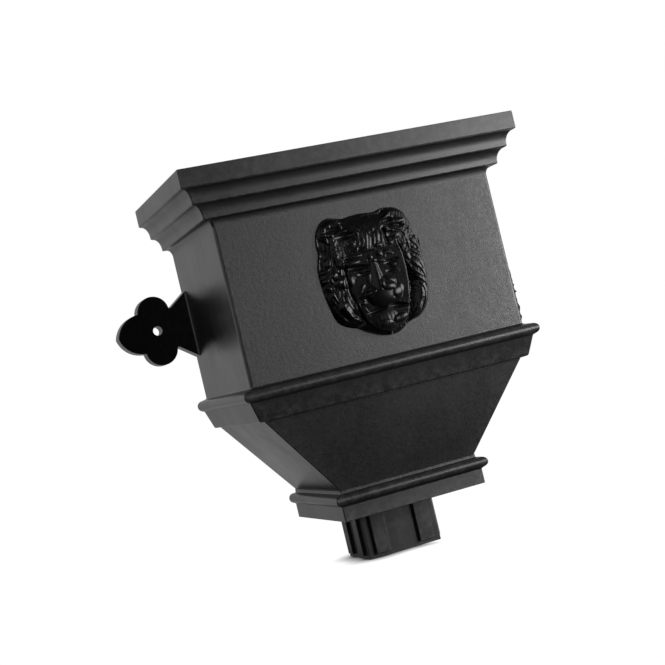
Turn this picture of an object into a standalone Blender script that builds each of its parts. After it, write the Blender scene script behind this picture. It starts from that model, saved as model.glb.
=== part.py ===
# Downpipe hopper head with a flat wall back, stepped cornice, funnel, outlet and lion mask.
# Metres, +Z up. The wall is the plane y = 0 and the front faces -Y.
# The origin lies on the wall plane, midway between the two fixing screws.

import math

import bmesh
import bpy
import numpy as np
from mathutils import Matrix, Vector

# Box between the mouldings
BOX_WIDTH = 0.240
BOX_DEPTH = 0.1455
WALL = 0.003
BOX_CORNER = 0.0026
MOULDING_CORNER = 0.0009
CORNER_STEPS = 3

# Heights from the screw line, and from there down one after another
RIM_Z = 0.1060
BAND_TOP_Z = -0.0630
BAND_HEIGHT = 0.0300
FUNNEL_HEIGHT = 0.0686
FOOT_HEIGHT = 0.0248
OUTLET_LENGTH = 0.0422
FUNNEL_TOP_Z = BAND_TOP_Z - BAND_HEIGHT
FUNNEL_END_Z = FUNNEL_TOP_Z - FUNNEL_HEIGHT
UNDERSIDE_Z = FUNNEL_END_Z - FOOT_HEIGHT
OUTLET_END_Z = UNDERSIDE_Z - OUTLET_LENGTH

# Cornice: projection of each flat member, and how far its lower lip is below the rim
CORNICE_PROJECTION = (0.0234, 0.0158, 0.0080)
CORNICE_LIP = (0.0148, 0.0270, 0.0386)
COVE_RADIUS = (0.0042, 0.0042, 0.0018)
LIP_RADIUS = 0.0010
SOFFIT_FALL = 0.0009
LEDGE_FALL = 0.0012

# Middle band: a hollow and a bead over a fascia that leans in, then a step to the funnel
BAND_HOLLOW = 0.0030
BEAD_DROP = 0.0035
BEAD_RADIUS = 0.0040
BEAD_PROJECTION = 0.0094
BEAD_TURN = (84, -90)
HOLLOW_TURN = (180, 262)
BAND_FASCIA_TOP = 0.0042
BAND_FASCIA_HEIGHT = 0.0146
BAND_LEAN = 0.0052
BAND_STEP = 0.0053
BAND_STEP_HEIGHT = 0.0012

# Foot of the funnel and the small lower band
FUNNEL_END_WIDTH = 0.1211
FUNNEL_END_DEPTH = 0.1203
QUIRK_HEIGHT = 0.0020
QUIRK_PROJECTION = 0.0005
FOOT_HOLLOW = 0.0012
FOOT_BEAD_RADIUS = 0.0040
FOOT_BEAD_PROJECTION = 0.0077
FOOT_FASCIA = 0.0027
FOOT_FASCIA_DROP = 0.0006

# Outlet that enters the downpipe, and the ribs that grip it
OUTLET_WIDTH = 0.0666
OUTLET_DEPTH = 0.0500
OUTLET_WALL = 0.0025
OUTLET_FROM_WALL = 0.0240
OUTLET_CORNER = 0.0009
RIB_PROUD = 0.0030
RIB_WIDTH = 0.0130
RIB_WIDTH_SIDE = 0.0108
RIB_MARGIN = 0.0065
RIB_SHORT = 0.0035

# Trefoil fixing ears
EAR_THICKNESS = 0.0150
SCREW_REACH = 0.0313
EAR_LOBE_RADIUS = 0.0138
EAR_LOBE_OFFSET = 0.0160
EAR_TIP_REACH = 0.0655
EAR_LEAF_HALF = 0.0170
EAR_LEAF_ROOT = 0.0150
EAR_LEAF_BULGE = 0.0042
EAR_NECK_REACH = 0.0158
EAR_NECK_HALF = 0.0172
EAR_ROOT_HALF = 0.0288
SCREW_HOLE = 0.0080
BOSS_DIAMETER = 0.0145
EAR_WALL = 0.0030
EAR_FILLET = 0.0020
EAR_FILLET_HALF = 0.0255
EAR_NECK_SHARE = 0.4
EAR_TIP_SHARE = 1.25
SINK = 0.0015

# Lion mask, set out in mask units from its middle: U across, V up, and heights over its back
MASK_UNIT = 0.001
MASK_GAP = 0.0003
MASK_GRID = 66
MASK_LIP = 1.6
MANE_HEIGHT = 8.6
MANE_REACH = 11.0
MANE_FLANK = 0.75
FACE_HEIGHT = 10.4
FACE_TILT = 0.05
FACE_ROLL = 2.6
FACE_ROLL_DROP = 6.5
FACE_GROOVE = 4.2
EAR_MIDDLE = (25.6, 38.0)
EAR_CREST = 7.5
EAR_OUTSIDE = 13.5
EAR_HEIGHT = 9.6
EAR_HOLLOW = 1.6
EAR_BLEND = 0.6
FACE_BLEND = 0.5
FACE_FADE = 6.0
DETAIL_ROUND = 1.3
LOCK_ROUND = 0.7
MASK_OUTLINE = (
    (0.0, 49.8), (-8.0, 49.4), (-15.0, 48.2), (-18.6, 48.4), (-22.5, 50.0), (-28.5, 50.8), (-34.4, 48.4),
    (-38.6, 43.6), (-41.2, 37.9), (-42.2, 30.5), (-42.1, 25.0), (-43.4, 19.4), (-45.4, 12.5), (-45.7, 4.0),
    (-45.0, -6.0), (-43.6, -15.0), (-41.6, -24.0), (-40.0, -29.5), (-36.8, -33.6), (-31.0, -37.0),
    (-23.5, -39.6), (-18.8, -42.8), (-12.0, -46.2), (-5.1, -48.9), (1.5, -50.0), (6.5, -49.7),
    (12.0, -47.6), (18.5, -43.8), (24.2, -41.9), (29.7, -40.6), (34.3, -37.6), (39.0, -31.6), (42.3, -23.0),
    (44.2, -13.0), (44.8, -3.0), (44.6, 7.0), (43.9, 16.0), (42.2, 21.6), (39.3, 25.6), (38.7, 31.0),
    (38.0, 37.0), (35.2, 42.6), (30.0, 47.4), (22.7, 50.6), (16.5, 50.3), (10.4, 48.7))

# Half width of the face at levels from the chin to the brow
FACE_LEVELS = (-47.5, -45.0, -42.0, -37.0, -30.0, -22.0, -12.0, 0.0, 12.0, 20.0)
FACE_HALVES = (2.0, 9.0, 14.0, 18.5, 20.8, 23.0, 24.8, 25.5, 25.0, 23.0)

# Large rounded forms: middle, half lengths, foot, top, tilt in degrees and blend
MASK_FORMS = (
    ((0.0, 20.0), (34.0, 29.0), 2.0, 11.6, 0, 1.0),
    ((3.4, -18.2), (17.0, 10.2), 9.2, 14.6, -4, 1.0),
    ((0.8, -38.0), (12.5, 8.6), 9.2, 12.6, 0, 1.0),
    ((0.2, -1.5), (4.6, 14.5), 10.2, 14.4, 0, 1.2),
    ((0.4, -11.6), (6.0, 4.2), 10.0, 15.6, 0, 0.9))

# Smaller swellings and hollows on them: middle, half lengths, rise (or fall) and tilt in degrees
MASK_DETAILS = (
    ((-18.5, 16.4), (5.6, 2.6), 1.0, 4),
    ((-19.5, 10.6), (5.2, 3.0), 1.3, 0),
    ((3.0, 15.6), (5.0, 2.6), 1.2, -45),
    ((9.5, 13.4), (6.2, 2.8), 1.3, -4),
    ((-6.2, 11.0), (3.0, 3.0), 1.3, 0),
    ((-13.8, 4.6), (7.0, 5.0), -2.0, -8),
    ((13.8, 4.6), (7.0, 5.0), -2.0, 8),
    ((-13.8, 3.6), (4.6, 3.6), 2.2, -8),
    ((13.8, 3.2), (4.6, 3.6), 2.2, 8),
    ((-26.0, -1.0), (5.0, 6.0), 1.3, 10),
    ((-9.8, -1.5), (4.4, 6.5), 1.0, 0),
    ((-17.0, -9.8), (6.0, 2.8), 0.9, 35),
    ((8.0, -11.6), (6.4, 5.0), 1.6, -12),
    ((13.0, -17.6), (5.4, 5.0), 1.3, -50),
    ((-12.8, -14.6), (5.6, 3.6), 1.3, 20),
    ((10.5, -28.2), (9.0, 3.0), -3.6, -14),
    ((-7.5, -29.0), (9.0, 2.8), -3.0, 6),
    ((10.8, -38.0), (4.4, 3.4), 1.2, 0),
    ((21.8, 26.2), (3.2, 3.0), 1.3, 0),
    ((-23.6, 26.2), (3.2, 3.0), 1.0, 0),
    ((27.0, 37.0), (4.6, 2.4), 1.2, 0),
    ((-33.5, 36.8), (3.6, 2.4), 1.1, -20),
    ((16.4, 42.0), (4.2, 2.4), 1.1, 22),
    ((-24.0, -26.0), (4.5, 9.0), -2.2, -20))

# Locks of hair: three places along each, half width and rise
MASK_LOCKS = (
    (((-7.0, 36.0), (-8.0, 29.0), (-9.6, 21.0)), 2.2, 1.0),
    (((-2.2, 36.0), (-3.2, 29.0), (-5.0, 20.0)), 2.2, 1.3),
    (((2.4, 36.0), (1.8, 28.0), (0.2, 20.0)), 2.2, 1.3),
    (((7.6, 36.0), (7.0, 28.0), (4.8, 20.0)), 2.4, 1.4),
    (((29.0, 20.0), (35.5, 18.0), (41.0, 12.0)), 3.6, 1.2),
    (((29.5, 12.0), (36.5, 10.0), (42.5, 4.0)), 3.8, 1.3),
    (((31.0, 4.0), (37.0, 1.5), (42.5, -5.5)), 3.8, 1.4),
    (((32.0, -4.5), (37.5, -7.5), (41.5, -16.0)), 3.6, 1.4),
    (((33.5, -13.0), (38.0, -18.0), (38.0, -28.0)), 3.4, 1.3),
    (((31.0, -23.0), (34.0, -29.0), (30.0, -37.0)), 3.2, 1.1),
    (((-34.5, 21.0), (-38.0, 16.0), (-37.0, 10.0)), 3.0, 1.4),
    (((-33.5, 9.0), (-37.0, 4.5), (-35.5, 0.0)), 3.0, 1.4),
    (((-37.5, 6.0), (-42.0, 1.0), (-40.5, -5.0)), 2.8, 1.2),
    (((-31.5, 2.0), (-35.2, -2.5), (-34.0, -9.0)), 3.0, 1.5),
    (((-37.5, -5.0), (-40.6, -11.0), (-36.5, -19.0)), 3.0, 1.3),
    (((-33.5, -13.0), (-33.0, -22.0), (-27.5, -32.0)), 3.6, 1.6),
    (((-37.5, -20.0), (-36.0, -28.0), (-29.5, -35.0)), 2.8, 1.1),
    (((-33.0, 26.0), (-27.0, 28.5), (-19.0, 30.5)), 2.4, 1.1),
    (((-32.0, 20.5), (-26.0, 22.8), (-19.0, 24.5)), 2.2, 1.0),
    (((33.0, 26.0), (27.0, 28.0), (20.0, 29.5)), 2.4, 0.9))


def clear_scene():
    for item in list(bpy.data.objects):
        bpy.data.objects.remove(item, do_unlink=True)


def new_collection(name):
    group = bpy.data.collections.new(name)
    bpy.context.scene.collection.children.link(group)
    return group


def plain_material(name, colour, roughness, metallic=0.0):
    material = bpy.data.materials.new(name)
    material.use_nodes = True
    shader = material.node_tree.nodes["Principled BSDF"]
    shader.inputs["Base Color"].default_value = (*colour, 1.0)
    shader.inputs["Roughness"].default_value = roughness
    shader.inputs["Metallic"].default_value = metallic
    material.diffuse_color = (*colour, 1.0)
    return material


def object_from(bm, name, group, material=None):
    bmesh.ops.recalc_face_normals(bm, faces=bm.faces)
    mesh = bpy.data.meshes.new(name)
    bm.to_mesh(mesh)
    bm.free()
    item = bpy.data.objects.new(name, mesh)
    group.objects.link(item)
    if material:
        mesh.materials.append(material)
    return item


def as_cutter(item):
    item.display_type = "WIRE"
    item.hide_render = True
    return item


def combine(target, tool, operation):
    step = target.modifiers.new(f"{operation.lower()}_{tool.name}", "BOOLEAN")
    step.operation = operation
    step.solver = "EXACT"
    step.object = tool


def arc(centre_p, centre_z, radius, start, end, steps):
    """Points on an arc in the profile plane, angles in degrees from the outward direction."""
    points = []
    for index in range(steps + 1):
        angle = math.radians(start + (end - start) * index / steps)
        points.append((centre_p + radius * math.cos(angle), centre_z + radius * math.sin(angle)))
    return points


def cornice_profile():
    """(projection, height) down the three members of the cornice."""
    points = [(CORNICE_PROJECTION[0] - LIP_RADIUS / 2, RIM_Z),
              (CORNICE_PROJECTION[0], RIM_Z - LIP_RADIUS / 2)]
    inner = CORNICE_PROJECTION[1:] + (0.0,)
    for outer, inset, lip, cove in zip(CORNICE_PROJECTION, inner, CORNICE_LIP, COVE_RADIUS):
        lip_z = RIM_Z - lip
        points += arc(outer - LIP_RADIUS, lip_z + LIP_RADIUS, LIP_RADIUS, 0, -90, 3)
        points += arc(inset + cove, lip_z - SOFFIT_FALL - cove, cove, 90, 180, 5)
    return points


def bead(radius, projection, top_z):
    """A half-round bead from its top, round the nose and back under it."""
    return arc(projection - radius, top_z - radius, radius, *BEAD_TURN, 9)


def hollow(inner, radius, top_z):
    """A hollow that turns from upright to outward."""
    return arc(inner + radius, top_z, radius, *HOLLOW_TURN, 4)


def band_profile():
    points = hollow(0.0, BAND_HOLLOW, BAND_TOP_Z)
    points += bead(BEAD_RADIUS, BEAD_PROJECTION, BAND_TOP_Z - BEAD_DROP)
    fascia_end = BAND_FASCIA_TOP - BAND_LEAN
    fascia_end_z = FUNNEL_TOP_Z + BAND_STEP_HEIGHT
    points.append((BAND_FASCIA_TOP, fascia_end_z + BAND_FASCIA_HEIGHT))
    points.append((fascia_end, fascia_end_z))
    points.append((fascia_end - BAND_STEP, FUNNEL_TOP_Z))
    return points


def foot_profile():
    quirk_end = FUNNEL_END_Z - QUIRK_HEIGHT
    points = [(0.0, FUNNEL_END_Z), (QUIRK_PROJECTION, FUNNEL_END_Z - QUIRK_HEIGHT / 4)]
    points += hollow(QUIRK_PROJECTION, FOOT_HOLLOW, quirk_end)
    points += bead(FOOT_BEAD_RADIUS, FOOT_BEAD_PROJECTION, quirk_end - FOOT_HOLLOW)
    points += [(FOOT_FASCIA, points[-1][1] - FOOT_FASCIA_DROP), (FOOT_FASCIA, UNDERSIDE_Z)]
    return points


def section(half_width, front, rear, z, radius):
    """A rectangle with its rear side along the wall and two rounded front corners."""
    points = [(-half_width, -rear, z)]
    for side in (-1, 1):
        centre_x = side * (half_width - radius)
        centre_y = -front + radius
        for index in range(CORNER_STEPS + 1):
            turn = 90 * index / CORNER_STEPS
            angle = math.radians(180 + turn if side < 0 else 270 + turn)
            points.append((centre_x + radius * math.cos(angle), centre_y + radius * math.sin(angle), z))
    points.append((half_width, -rear, z))
    return points


def loft(name, sections, group, material=None):
    """A closed solid through a stack of sections that have the same number of points."""
    bm = bmesh.new()
    rings = [[bm.verts.new(point) for point in ring] for ring in sections]
    count = len(rings[0])
    for upper, lower in zip(rings, rings[1:]):
        for index in range(count):
            following = (index + 1) % count
            bm.faces.new((upper[index], upper[following], lower[following], lower[index]))
    bm.faces.new(rings[0])
    bm.faces.new(list(reversed(rings[-1])))
    return object_from(bm, name, group, material)


def prism(name, outline, near, far, group):
    """A flat outline in X and Z, given depth along Y."""
    bm = bmesh.new()
    base = [bm.verts.new((x, near, z)) for x, z in outline]
    face = bm.faces.new(base)
    moved = bmesh.ops.extrude_face_region(bm, geom=[face])["geom"]
    corners = [part for part in moved if isinstance(part, bmesh.types.BMVert)]
    bmesh.ops.translate(bm, verts=corners, vec=(0.0, far - near, 0.0))
    return object_from(bm, name, group)


def block(name, centre, size, group):
    bm = bmesh.new()
    bmesh.ops.create_cube(bm, size=1.0)
    bmesh.ops.scale(bm, vec=size, verts=bm.verts)
    bmesh.ops.translate(bm, vec=centre, verts=bm.verts)
    return object_from(bm, name, group)


def outer_sections():
    rings = []
    for projection, z in cornice_profile() + band_profile():
        corner = BOX_CORNER if projection == 0.0 else MOULDING_CORNER
        rings.append(section(BOX_WIDTH / 2 + projection, BOX_DEPTH + projection, 0.0, z, corner))
    for projection, z in foot_profile():
        half = FUNNEL_END_WIDTH / 2 + projection
        rings.append(section(half, FUNNEL_END_DEPTH + projection, 0.0, z, MOULDING_CORNER))
    return rings


def inner_sections():
    """The open inside: it follows the outside one wall thickness in."""
    radius = MOULDING_CORNER
    first, second, third = (value - WALL for value in CORNICE_PROJECTION)
    shelf = [RIM_Z - lip + WALL for lip in CORNICE_LIP]
    profile = [(first, RIM_Z + WALL), (first, shelf[0]), (second, shelf[0] - LEDGE_FALL),
               (second, shelf[1]), (third, shelf[1] - LEDGE_FALL), (third, shelf[2]),
               (-WALL, shelf[2] - LEDGE_FALL), (-WALL, FUNNEL_TOP_Z + 2 * WALL)]
    rings = [section(BOX_WIDTH / 2 + p, BOX_DEPTH + p, WALL, z, radius) for p, z in profile]

    drop = FUNNEL_TOP_Z - FUNNEL_END_Z
    start = BOX_WIDTH / 2 + BAND_FASCIA_TOP - BAND_LEAN - BAND_STEP
    start_front = start - BOX_WIDTH / 2 + BOX_DEPTH
    side_inset = WALL * math.hypot(1.0, (start - FUNNEL_END_WIDTH / 2) / drop)
    front_inset = WALL * math.hypot(1.0, (start_front - FUNNEL_END_DEPTH) / drop)
    end = FUNNEL_END_WIDTH / 2
    rings.append(section(start - side_inset, start_front - front_inset, WALL, FUNNEL_TOP_Z, radius))
    rings.append(section(end - side_inset, FUNNEL_END_DEPTH - front_inset, WALL, FUNNEL_END_Z, radius))
    rings.append(section(end - side_inset, FUNNEL_END_DEPTH - front_inset, WALL,
                         UNDERSIDE_Z + WALL, radius))
    return rings


def outlet_section(shrink, z):
    front = OUTLET_FROM_WALL + OUTLET_DEPTH - shrink
    return section(OUTLET_WIDTH / 2 - shrink, front, OUTLET_FROM_WALL + shrink, z, OUTLET_CORNER)


def outlet_ribs(group):
    """Two upright ribs on each face of the outlet, proud of it and short of its end."""
    ribs = []
    top = UNDERSIDE_Z + SINK
    bottom = OUTLET_END_Z + RIB_SHORT
    thick = RIB_PROUD + SINK
    middle_z = (top + bottom) / 2
    across = OUTLET_WIDTH / 2 - RIB_MARGIN - RIB_WIDTH / 2
    along = OUTLET_DEPTH / 2 - RIB_MARGIN - RIB_WIDTH_SIDE / 2
    centre_y = -OUTLET_FROM_WALL - OUTLET_DEPTH / 2
    reach_x = OUTLET_WIDTH / 2 + (RIB_PROUD - SINK) / 2
    reach_y = OUTLET_DEPTH / 2 + (RIB_PROUD - SINK) / 2
    for first in (-1, 1):
        for second in (-1, 1):
            ribs.append(block("rib", (first * across, centre_y + second * reach_y, middle_z),
                              (RIB_WIDTH, thick, top - bottom), group))
            ribs.append(block("rib", (first * reach_x, centre_y + second * along, middle_z),
                              (thick, RIB_WIDTH_SIDE, top - bottom), group))
    return ribs


def circle_points(centre, radius, start, end, steps):
    points = []
    for index in range(steps + 1):
        angle = math.radians(start + (end - start) * index / steps)
        points.append((centre[0] + radius * math.cos(angle), centre[1] + radius * math.sin(angle)))
    return points


def bulged(start, end, rise, steps):
    """A shallow arc between two points; a positive rise bulges it to the left of the way."""
    along = (end[0] - start[0], end[1] - start[1])
    length = math.hypot(*along)
    normal = (-along[1] / length, along[0] / length)
    radius = (length * length / 4 + rise * rise) / (2 * rise)
    centre = ((start[0] + end[0]) / 2 - normal[0] * (radius - rise),
              (start[1] + end[1]) / 2 - normal[1] * (radius - rise))
    first = math.degrees(math.atan2(start[1] - centre[1], start[0] - centre[0]))
    last = math.degrees(math.atan2(end[1] - centre[1], end[0] - centre[0]))
    if last > first:
        last -= 360
    return circle_points(centre, radius, first, last, steps)


def ear_outline(inset=0.0, root=-SINK):
    """The upper half of a trefoil, mirrored below; X runs out from the box's side wall."""
    lobe = EAR_LOBE_RADIUS - inset
    lobe_end = math.degrees(math.asin((EAR_NECK_HALF - EAR_LOBE_OFFSET) / EAR_LOBE_RADIUS))
    neck_slope = (EAR_ROOT_HALF - EAR_NECK_HALF) / EAR_NECK_REACH
    neck_drop = inset * math.hypot(1.0, neck_slope)
    neck_x = EAR_NECK_REACH - inset * EAR_NECK_SHARE
    upper = [(root, EAR_ROOT_HALF - max(root, 0.0) * neck_slope - neck_drop),
             (neck_x, EAR_ROOT_HALF - neck_x * neck_slope - neck_drop)]
    if root < 0:
        upper.insert(1, (0.0, EAR_ROOT_HALF))
    upper += circle_points((SCREW_REACH, EAR_LOBE_OFFSET), lobe, 180 - lobe_end, lobe_end, 14)
    upper += bulged((SCREW_REACH + EAR_LEAF_ROOT - inset * EAR_NECK_SHARE, EAR_LEAF_HALF - inset),
                    (EAR_TIP_REACH - inset * EAR_TIP_SHARE, 0.0), EAR_LEAF_BULGE, 8)
    lower = [(x, -z) for x, z in reversed(upper[:-1])]
    return upper + lower


def placed_ear(outline, side):
    return [(side * (BOX_WIDTH / 2 + x), z) for x, z in outline]


def ear_fillet(side, group):
    """The small hollow round where the ear's front meets the side wall."""
    wall = BOX_WIDTH / 2
    front = -EAR_THICKNESS
    outline = [(wall - SINK / 2, front + SINK / 2), (wall - SINK / 2, front - EAR_FILLET)]
    outline += circle_points((wall + EAR_FILLET, front - EAR_FILLET), EAR_FILLET, 180, 90, 4)
    outline.append((wall + EAR_FILLET, front + SINK / 2))
    bm = bmesh.new()
    base = bm.faces.new([bm.verts.new((side * x, y, -EAR_FILLET_HALF)) for x, y in outline])
    moved = bmesh.ops.extrude_face_region(bm, geom=[base])["geom"]
    corners = [part for part in moved if isinstance(part, bmesh.types.BMVert)]
    bmesh.ops.translate(bm, verts=corners, vec=(0.0, 0.0, 2 * EAR_FILLET_HALF))
    return object_from(bm, "ear_fillet", group)


def screw_tube(name, diameter, side, near, far, group):
    bm = bmesh.new()
    bmesh.ops.create_cone(bm, cap_ends=True, segments=28, radius1=diameter / 2,
                          radius2=diameter / 2, depth=far - near)
    bmesh.ops.rotate(bm, verts=bm.verts, matrix=Matrix.Rotation(math.pi / 2, 3, "X"))
    bmesh.ops.translate(bm, verts=bm.verts,
                        vec=(side * (BOX_WIDTH / 2 + SCREW_REACH), (near + far) / 2, 0.0))
    return object_from(bm, name, group)


def make_body(group, tools, material):
    body = loft("hopper_body", outer_sections(), group, material)

    outlet = loft("outlet_tube", [outlet_section(0.0, UNDERSIDE_Z + SINK),
                                  outlet_section(0.0, OUTLET_END_Z)], tools)
    combine(body, as_cutter(outlet), "UNION")
    for rib in outlet_ribs(tools):
        combine(body, as_cutter(rib), "UNION")

    for side in (-1, 1):
        ear = prism("ear", placed_ear(ear_outline(), side), -EAR_THICKNESS, 0.0, tools)
        pocket = prism("ear_pocket", placed_ear(ear_outline(EAR_WALL, EAR_WALL), side),
                       -EAR_THICKNESS + EAR_WALL, SINK, tools)
        boss = screw_tube("screw_boss", BOSS_DIAMETER, side, -EAR_THICKNESS + SINK, 0.0, tools)
        hole = screw_tube("screw_hole", SCREW_HOLE, side, -EAR_THICKNESS - SINK, SINK, tools)
        combine(body, as_cutter(ear), "UNION")
        combine(body, as_cutter(ear_fillet(side, tools)), "UNION")
        combine(body, as_cutter(pocket), "DIFFERENCE")
        combine(body, as_cutter(boss), "UNION")
        combine(body, as_cutter(hole), "DIFFERENCE")

    inside = loft("inside", inner_sections(), tools)
    throat = loft("throat", [outlet_section(OUTLET_WALL, UNDERSIDE_Z + 2 * WALL),
                             outlet_section(OUTLET_WALL, OUTLET_END_Z - SINK)], tools)
    combine(body, as_cutter(inside), "DIFFERENCE")
    combine(body, as_cutter(throat), "DIFFERENCE")
    return body


def smooth_max(first, second, blend):
    share = np.clip(0.5 + 0.5 * (first - second) / blend, 0.0, 1.0)
    return second * (1 - share) + first * share + blend * share * (1 - share)


def mound(u, v, middle, half, tilt):
    """1 on top of a half ellipsoid, 0 at its rim, and falling on outside."""
    angle = math.radians(tilt)
    du, dv = u - middle[0], v - middle[1]
    along = (du * math.cos(angle) + dv * math.sin(angle)) / half[0]
    across = (-du * math.sin(angle) + dv * math.cos(angle)) / half[1]
    away = np.hypot(along, across)
    return np.where(away < 1, np.sqrt(np.clip(1 - away ** 2, 0, 1)), 1 - away)


def raised(form, u, v, shape):
    middle, half, foot, top, tilt, blend = shape
    return smooth_max(form, foot + (top - foot) * mound(u, v, middle, half, tilt), blend)


def lock(u, v, path, half):
    """Share of a lock's rise round a curve through the three places, rounded across and at its ends."""
    start, middle, end = (np.array(place) for place in path)
    share = np.linspace(0, 1, 11)[:, None]
    pull = 2 * middle - (start + end) / 2
    line = start * (1 - share) ** 2 + pull * 2 * share * (1 - share) + end * share ** 2
    away = np.full(u.shape, np.inf)
    for first, second in zip(line, line[1:]):
        du, dv = second - first
        held = np.clip(((u - first[0]) * du + (v - first[1]) * dv) / (du * du + dv * dv), 0, 1)
        away = np.minimum(away, np.hypot(u - first[0] - held * du, v - first[1] - held * dv))
    return np.clip(1 - (away / half) ** 2, 0, 1) ** LOCK_ROUND


def lion_relief(u, v, inward):
    """Height of the mask over its back, with inward measured from its outline."""
    side = np.abs(u)
    rise = np.sin(np.clip(inward / MANE_REACH, 0, 1) ** MANE_FLANK * math.pi / 2)
    form = MASK_LIP + (MANE_HEIGHT - MASK_LIP) * rise
    head, *front_forms = MASK_FORMS
    form = raised(form, u, v, head)

    away = np.hypot(side - EAR_MIDDLE[0], v - EAR_MIDDLE[1])
    outer = np.clip((away - EAR_CREST) / (EAR_OUTSIDE - EAR_CREST), 0, 1)
    ear = MASK_LIP + (EAR_HEIGHT - MASK_LIP) * np.sqrt(1 - outer ** 2)
    ear = ear - EAR_HOLLOW * np.clip(2 * (1 - away / EAR_CREST), 0, 1)
    form = np.where(away < EAR_OUTSIDE, smooth_max(ear, form, EAR_BLEND), form)

    half = np.interp(v, FACE_LEVELS, FACE_HALVES)
    gap = side - half
    below = np.clip((FACE_LEVELS[-1] - v) / FACE_FADE, 0, 1)
    form = form - FACE_GROOVE * np.exp(-(gap / 2) ** 2) * below
    roll = np.clip(1 + gap / FACE_ROLL, 0, 1)
    face = FACE_HEIGHT + FACE_TILT * u - FACE_ROLL_DROP * (1 - np.sqrt(1 - roll ** 2))
    form = np.where((gap < 0) & (v < FACE_LEVELS[-1] + FACE_FADE), smooth_max(face, form, FACE_BLEND), form)
    for shape in front_forms:
        form = raised(form, u, v, shape)

    for middle, halves, height, tilt in MASK_DETAILS:
        form = form + height * np.clip(mound(u, v, middle, halves, tilt), 0, 1) ** DETAIL_ROUND
    hair = np.zeros(u.shape)
    for path, width, height in MASK_LOCKS:
        hair = np.maximum(hair, height * lock(u, v, path, width))
    return np.maximum(form + hair, MASK_LIP)


def outline_reach(angles):
    """Distance from the mask's middle to its outline in each direction, through a smooth curve."""
    corners = [Vector(point) for point in MASK_OUTLINE]
    count = len(corners)
    fine = []
    for index in range(count):
        before, start, end, after = (corners[(index + shift) % count] for shift in (-1, 0, 1, 2))
        bend = 2 * before - 5 * start + 4 * end - after
        curl = 3 * start - before - 3 * end + after
        for share in (0, 0.25, 0.5, 0.75):
            fine.append(0.5 * (2 * start + (end - before) * share + bend * share ** 2 + curl * share ** 3))
    bearing = np.array([math.atan2(point.y, point.x) for point in fine])
    length = np.array([point.length for point in fine])
    order = np.argsort(bearing)
    return np.interp(angles, bearing[order], length[order], period=2 * math.pi)


def mask_places(across, up):
    """Bends a square of points to the mask's outline and gives each one's distance from it."""
    share = np.maximum(np.abs(across), np.abs(up))
    angles = np.arctan2(up * np.sqrt(1 - across ** 2 / 2), across * np.sqrt(1 - up ** 2 / 2))
    reach = outline_reach(angles)
    return reach * share * np.cos(angles), reach * share * np.sin(angles), reach * (1 - share)


def make_mask(group, material):
    """The relief is a grid that is bent to the outline, raised to its forms and closed behind."""
    bm = bmesh.new()
    bmesh.ops.create_grid(bm, x_segments=MASK_GRID, y_segments=MASK_GRID, size=1.0)
    square = np.array([tuple(vert.co) for vert in bm.verts])
    u, v, inward = mask_places(square[:, 0], square[:, 1])
    back = -BOX_DEPTH - MASK_GAP
    for vert, across, up, height in zip(bm.verts, u, v, lion_relief(u, v, inward)):
        vert.co = (across * MASK_UNIT, back - height * MASK_UNIT, up * MASK_UNIT)
    rim = [edge for edge in bm.edges if edge.is_boundary]
    moved = bmesh.ops.extrude_edge_only(bm, edges=rim)["geom"]
    for vert in [part for part in moved if isinstance(part, bmesh.types.BMVert)]:
        vert.co.y = back
    bmesh.ops.holes_fill(bm, edges=[edge for edge in bm.edges if edge.is_boundary], sides=0)
    return object_from(bm, "lion_mask", group, material)


clear_scene()
parts = new_collection("downpipe_hopper_head")
tools = new_collection("cutters")
cast_black = plain_material("cast_black", (0.020, 0.020, 0.022), 0.42)
gloss_black = plain_material("gloss_black", (0.008, 0.008, 0.009), 0.22)
make_body(parts, tools, cast_black)
make_mask(parts, gloss_black)
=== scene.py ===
# Looks of the downpipe hopper head: one black moulding with a glossy lion mask, on white.
# Metres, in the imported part's own frame: the wall is the plane y = 0 and the front faces -Y.

import math

import bmesh
import bpy
import numpy as np
from mathutils import Matrix, Vector


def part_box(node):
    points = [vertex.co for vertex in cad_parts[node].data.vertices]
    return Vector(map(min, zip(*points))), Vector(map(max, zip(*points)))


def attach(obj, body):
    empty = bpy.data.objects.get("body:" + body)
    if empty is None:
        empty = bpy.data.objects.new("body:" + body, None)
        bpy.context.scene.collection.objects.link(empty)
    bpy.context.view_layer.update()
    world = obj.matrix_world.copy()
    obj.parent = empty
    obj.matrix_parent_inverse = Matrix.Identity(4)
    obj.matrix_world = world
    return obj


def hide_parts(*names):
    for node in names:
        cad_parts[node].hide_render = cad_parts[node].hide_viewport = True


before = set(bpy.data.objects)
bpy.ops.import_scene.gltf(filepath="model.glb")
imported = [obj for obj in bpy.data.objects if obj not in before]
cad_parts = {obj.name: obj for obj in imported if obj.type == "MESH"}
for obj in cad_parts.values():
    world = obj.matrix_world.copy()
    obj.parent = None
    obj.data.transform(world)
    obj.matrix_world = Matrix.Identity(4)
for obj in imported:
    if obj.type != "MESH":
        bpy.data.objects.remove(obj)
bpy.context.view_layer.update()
bodyLow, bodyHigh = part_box("hopper_body")
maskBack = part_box("lion_mask")[1].y  # the plane that it is bonded on with
print("frame loaded")

millimetre = 0.001


# Camera: the hopper stands upright and the tilt in the picture is a roll of the camera

cameraView = {
    "place": (-0.39017, -1.10226, -0.05850),
    "azimuth": 19.840,  # degrees to the right of straight at the wall
    "elevation": 1.171,
    "roll": 13.454,
    "lens": 70.271,
    "sensor": 36.0,
}


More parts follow.
